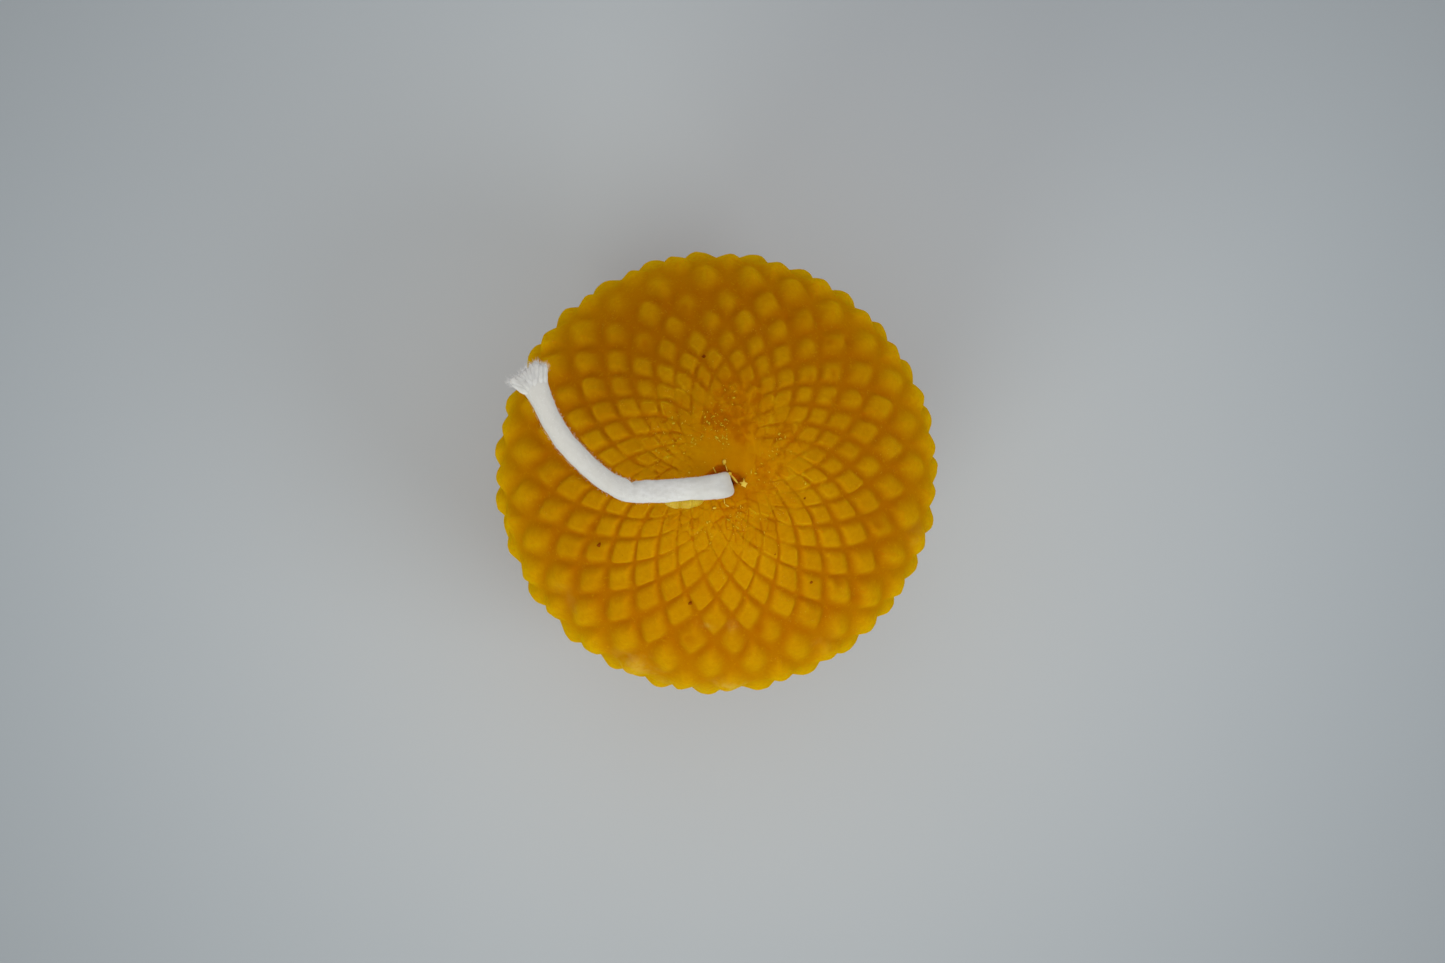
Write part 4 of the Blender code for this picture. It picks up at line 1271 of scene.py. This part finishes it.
def wax_bead(path):
    """A thin run of pale wax along the lower side of the free wick."""
    tan, side, up = frames_along(path)
    seg = np.concatenate([[0], np.cumsum(np.linalg.norm(np.diff(path, axis=0), axis=1))])
    s0, s1 = 4.3 * MM, 9.3 * MM
    stations, around = 60, 20
    V, F = [], []
    R = 0.5 * WICK_DIAMETER
    for i in range(stations):
        t = i / (stations - 1)
        s = s0 + (s1 - s0) * t
        j = int(np.argmin(np.abs(seg - s)))
        p, ta, si, u = path[j], tan[j], side[j], up[j]
        # side that faces -Y
        sg = -1.0 if si[1] > 0 else 1.0
        swell = max(0.0, 1 - (2 * t - 1) ** 2) ** 0.62 * (0.90 + 0.10 * sin(7.0 * t + 1.2) + 0.05 * sin(19 * t))
        mid = radians(-24 + 5 * sin(4 * t))
        half = radians(46) * (0.25 + 0.75 * swell)
        for k in range(around):
            w = 2 * k / (around - 1) - 1
            a = mid + half * w
            thick = 1.15 * MM * swell * (1 - w * w) ** 0.75
            r_out = R * 0.98 + 0.02 * MM + thick
            V.append(p + sg * si * r_out * cos(a) + u * r_out * sin(a) * 0.95)
        for k in reversed(range(around)):
            w = 2 * k / (around - 1) - 1
            a = mid + half * w * 0.96
            r_in = R * 0.86
            V.append(p + sg * si * r_in * cos(a) + u * r_in * sin(a) * 0.90)
    n = 2 * around
    for i in range(stations - 1):
        for k in range(n):
            m = (k + 1) % n
            F.append((i * n + k, (i + 1) * n + k, (i + 1) * n + m, i * n + m))
    V = np.array(V)
    V = V + 0.05 * MM * np.stack([fbm(V, 0.0012, 201, 2), fbm(V, 0.0012, 202, 2), fbm(V, 0.0012, 203, 2)], axis=1)
    c0, c1 = len(V), len(V) + 1
    V = np.concatenate([V, [V[:n].mean(0)], [V[(stations - 1) * n: stations * n].mean(0)]])
    T = [(c0, k, (k + 1) % n) for k in range(n)]
    last = (stations - 1) * n
    T += [(c1, last + (k + 1) % n, last + k) for k in range(n)]
    ob = mesh_from("wax_bead", V, T, BEAD, quads=F)
    flip_if_inside_out(ob)
    return ob


def wax_at(x, y, lift=0.0):
    """Point of the wax surface above (x, y), near the tip."""
    r = np.array([sqrt(x * x + y * y)])
    th = np.array([atan2(y, x)])
    u = row_of_radius(r)
    z = crest_z(r)
    down = relief(th, u, r, z)[0]
    return (x, y, float(z[0] - down[0]) + lift)


def chip(points, centre, z0, thick, seed, tilt=(0.0, 0.0)):
    """A thin broken flake: an outline in mm, domed a little, with a rough edge."""
    pts = np.array(points, float)
    n = len(pts)
    fine = []
    for i in range(n):
        for t in np.linspace(0, 1, 5)[:-1]:
            fine.append(pts[i] * (1 - t) + pts[(i + 1) % n] * t)
    fine = np.array(fine)
    m = len(fine)
    mid = fine.mean(0)
    rings, V = [], []
    for k, (f, h) in enumerate(((1.0, 0.0), (0.90, 0.75), (0.6, 1.0), (0.25, 1.05))):
        q = mid + (fine - mid) * f
        j = 0.025 * noise3(q[:, 0] * 9 + seed, q[:, 1] * 9, q[:, 0] * 0 + k, seed)
        V.append(np.stack([centre[0] + q[:, 0] + j, centre[1] + q[:, 1] - j, h * thick + q[:, 0] * tilt[0] + q[:, 1] * tilt[1]], axis=1))
    q = mid + (fine - mid) * 0.85
    V.append(np.stack([centre[0] + q[:, 0], centre[1] + q[:, 1], -0.6 * thick + q[:, 0] * tilt[0] + q[:, 1] * tilt[1]], axis=1))
    order = [4, 0, 1, 2, 3]
    V = np.concatenate([V[i] for i in order] + [[[centre[0] + mid[0], centre[1] + mid[1], 1.06 * thick]], [[centre[0] + mid[0], centre[1] + mid[1], -0.6 * thick]]])
    V[:, 2] += z0
    T = []
    for a_ in range(4):
        for i in range(m):
            j = (i + 1) % m
            T.append((a_ * m + i, a_ * m + j, (a_ + 1) * m + j))
            T.append((a_ * m + i, (a_ + 1) * m + j, (a_ + 1) * m + i))
    top, bot = 5 * m, 5 * m + 1
    for i in range(m):
        j = (i + 1) % m
        T.append((4 * m + i, 4 * m + j, top))
        T.append((j, i, bot))
    return V * MM, np.array(T)


def mouth_crumbs():
    """Pale broken-off flakes round the mouth."""
    parts = []

    def surf(x, y):
        return float(crest_z(np.array([sqrt(x * x + y * y) * MM]))[0]) / MM

    # crumb above the mouth and its thread down toward the wick
    parts.append(chip([(-.22, .1), (-.05, .34), (.2, .26), (.24, -.05), (.1, -.34), (-.12, -.26)], (0.16, 0.42), surf(.16, .42) + .06, .20, 3))
    parts.append(chip([(-.06, .35), (.04, .36), (.26, -.42), (.16, -.46)], (0.34, -0.25), surf(.34, -.25) + .10, .10, 5))
    # four-pointed flake
    parts.append(chip([(-.08, .20), (.02, .72), (.14, .24), (.50, .02), (.36, -.20), (.22, -.52), (-.06, -.38), (-.34, -.28), (-.28, -.06), (-.56, .16), (-.22, .14)],
                      (2.60, -2.22), surf(2.6, -2.2) + .05, .16, 8, (0.05, -0.10)))
    # sliver along the end of the wick
    parts.append(chip([(-.48, .50), (-.34, .58), (.10, .16), (.40, -.30), (.52, -.52), (.30, -.48), (-.06, -.08)], (1.42, -1.72), surf(1.4, -1.7) + .10, .16, 12))
    parts.append(chip([(-.24, .12), (0, .24), (.26, .10), (.18, -.20), (-.16, -.22)], (0.86, -1.02), surf(.86, -1.0) + .12, .18, 13))
    # loose crumbs below the wick
    parts.append(chip([(-.26, -.06), (-.08, .14), (.24, .10), (.22, -.08), (-.06, -.18)], (-1.02, -5.25), surf(-1, -5.25), .14, 15))
    parts.append(chip([(-.30, .18), (-.18, .20), (.28, -.12), (.24, -.20), (-.06, -.08)], (0.52, -4.95), surf(.5, -4.95), .12, 17))
    parts.append(chip([(-.07, .35), (.03, .36), (.10, -.40), (.0, -.42)], (0.18, -4.35), surf(.2, -4.35), .10, 18))
    # spike of wax left standing across the hole
    parts.append(chip([(-.30, .46), (-.18, .48), (.30, -.42), (.16, -.46)], (-1.05, -0.52), surf(-1, -.5) - .12, .16, 19))
    parts.append(chip([(-.30, .05), (0, .14), (.3, .04), (.2, -.12), (-.2, -.12)], (-0.35, -1.02), surf(-.3, -1) - .10, .16, 21))
    return join_blobs("mouth_crumbs", parts, CRUMB)


def wax_grains():
    """Fine pale grains caught in the set wax near the tip."""
    rng = np.random.default_rng(515)
    spots = ((-0.3, 4.9, 1.5, 46), (0.3, 3.2, 0.9, 16), (-1.3, 6.0, 1.0, 20), (7.2, 3.6, 0.9, 12), (6.3, 1.5, 0.8, 10), (8.45, 1.76, 0.5, 5),
             (10.2, -2.2, 0.5, 5), (-4.1, 2.8, 1.2, 16), (-7.0, 2.0, 1.6, 16), (4.6, -0.6, 1.4, 10), (1.5, -6.6, 1.3, 22),
             (-2.5, -7.8, 1.8, 18), (4.0, -7.5, 2.2, 18), (-6.0, 5.5, 1.6, 12), (1.0, 9.0, 2.0, 14), (0, 0, 6.5, 60))
    parts = []
    for cx, cy, spread, count in spots:
        for _ in range(int(count * 0.85)):
            x, y = cx + rng.normal(0, spread * 0.6), cy + rng.normal(0, spread * 0.6)
            if sqrt((x - 0.2) ** 2 + (y + 2.0) ** 2) < 2.75:
                continue
            r = 0.038 + 0.085 * rng.uniform(0, 1) ** 2
            sx, sy, turn = rng.uniform(0.9, 2.6), rng.uniform(0.6, 1.2), rng.uniform(0, pi)
            axes = ((cos(turn), sin(turn), 0.0), (-sin(turn), cos(turn), 0.0), (0.0, 0.0, 1.0))
            parts.append(blob(wax_at(x * MM, y * MM, 0.002 * MM), (r * sx * MM, r * sy * MM, r * 0.55 * MM), int(rng.integers(1, 999)), axes, 1, 0.50))
    return join_blobs("wax_grains", parts, GRAIN)


def specks():
    parts = []
    spots = ((-2.25, 14.04, 0.24), (-15.44, -9.82, 0.34), (-3.96, -17.21, 0.26),
             (11.52, -14.54, 0.30), (6.67, -10.99, 0.16), (10.33, -3.97, 0.20))
    for i, (x, y, r) in enumerate(spots):
        parts.append(blob(wax_at(x * MM, y * MM, -0.04 * MM), (r * MM, r * 0.75 * MM, r * 0.35 * MM), 31 + 3 * i, None, 2, 0.4))
    return join_blobs("wax_specks", parts, SPECK)


wax = wax_body(WAX)
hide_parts("candle_body")
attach(wax, "root")

wick, wick_path, wick_length = free_wick()
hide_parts("wick")
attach(wick, "root")
core = wick_core()
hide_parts("wick")
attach(core, "root")
fuzz = wick_fuzz(wick_path)
ends, tuft = wick_tuft(wick_path)
bead = wax_bead(wick_path)
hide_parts("wick_wax_bead")
crumbs = mouth_crumbs()
dirt = specks()
grains = wax_grains()
for ob, slot in ((fuzz, "wick_cotton"), (ends, "wick_cotton"), (tuft, "wick_cotton"), (bead, None), (crumbs, "beeswax_bead"), (dirt, "beeswax"), (grains, "beeswax_bead")):
    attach(ob, "root")


# --------------------------------------------------------------------- stage
def floor():
    import bmesh
    bm = bmesh.new()
    bmesh.ops.create_grid(bm, x_segments=8, y_segments=8, size=3.0)
    me = bpy.data.meshes.new("floor")
    bm.to_mesh(me)
    bm.free()
    n = Nodes("floor_paper")
    co = n.coords()
    # painted light falloff: the paper is painted a little darker and cooler away from the object, a painted pool of
    # light round it with cooler light further out
    away = n.add("ShaderNodeVectorMath", operation="LENGTH")
    n.join(co, away.inputs[0])
    rho = away.outputs["Value"]
    painted_falloff = n.math("DIVIDE", 1.0, n.math("ADD", n.math("MULTIPLY", n.math("MULTIPLY", rho, rho), 36.0), 1.0))
    painted_light_pool = n.math("MAXIMUM", painted_falloff, 0.50)
    mottle = n.mix(n.span(n.noise(co, 9.0, 3.0), 0.3, 0.7), (0.566, 0.608, 0.630), (0.582, 0.624, 0.646))
    mottle_and_painted_cool_edge = n.mix(n.span(rho, 0.03, 0.125), mottle, (0.562, 0.622, 0.662))
    col = n.mix(painted_light_pool, (0.0, 0.0, 0.0), mottle_and_painted_cool_edge)
    n.join(col, n.shader.inputs["Base Color"])
    n.join(n.span(n.noise(co, 60.0, 2.0), 0.3, 0.7, 0.75, 0.9), n.shader.inputs["Roughness"])
    n.shader.inputs["Specular IOR Level"].default_value = 0.1
    me.materials.append(n.mat)
    ob = link(bpy.data.objects.new("floor", me))
    return ob


def area(name, azimuth, elevation, distance, size, power, colour, aim=(0, 0, 0.03)):
    data = bpy.data.lights.new(name, "AREA")
    data.shape = "DISK"
    data.size = size
    data.energy = power
    data.color = colour
    ob = link(bpy.data.objects.new(name, data))
    az, el = radians(azimuth), radians(elevation)
    at = Vector(aim) + distance * Vector((cos(el) * cos(az), cos(el) * sin(az), sin(el)))
    ob.location = at
    ob.rotation_euler = (Vector(aim) - at).to_track_quat("-Z", "Y").to_euler()
    ob.visible_camera = False
    return ob


floor()
area("key_soft", 240, 28, 0.75, 0.40, 1.60, (0.98, 1.02, 0.96))
area("side_soft", 330, 45, 0.75, 0.40, 1.27, (0.97, 1.0, 1.0))
area("back_soft", 108, 11, 0.80, 0.36, 0.42, (1.0, 0.95, 0.88))
world = bpy.data.worlds.new("world")
world.use_nodes = True
world.node_tree.nodes["Background"].inputs["Color"].default_value = (0.985, 0.962, 0.972, 1.0)
world.node_tree.nodes["Background"].inputs["Strength"].default_value = 0.60
scene.world = world
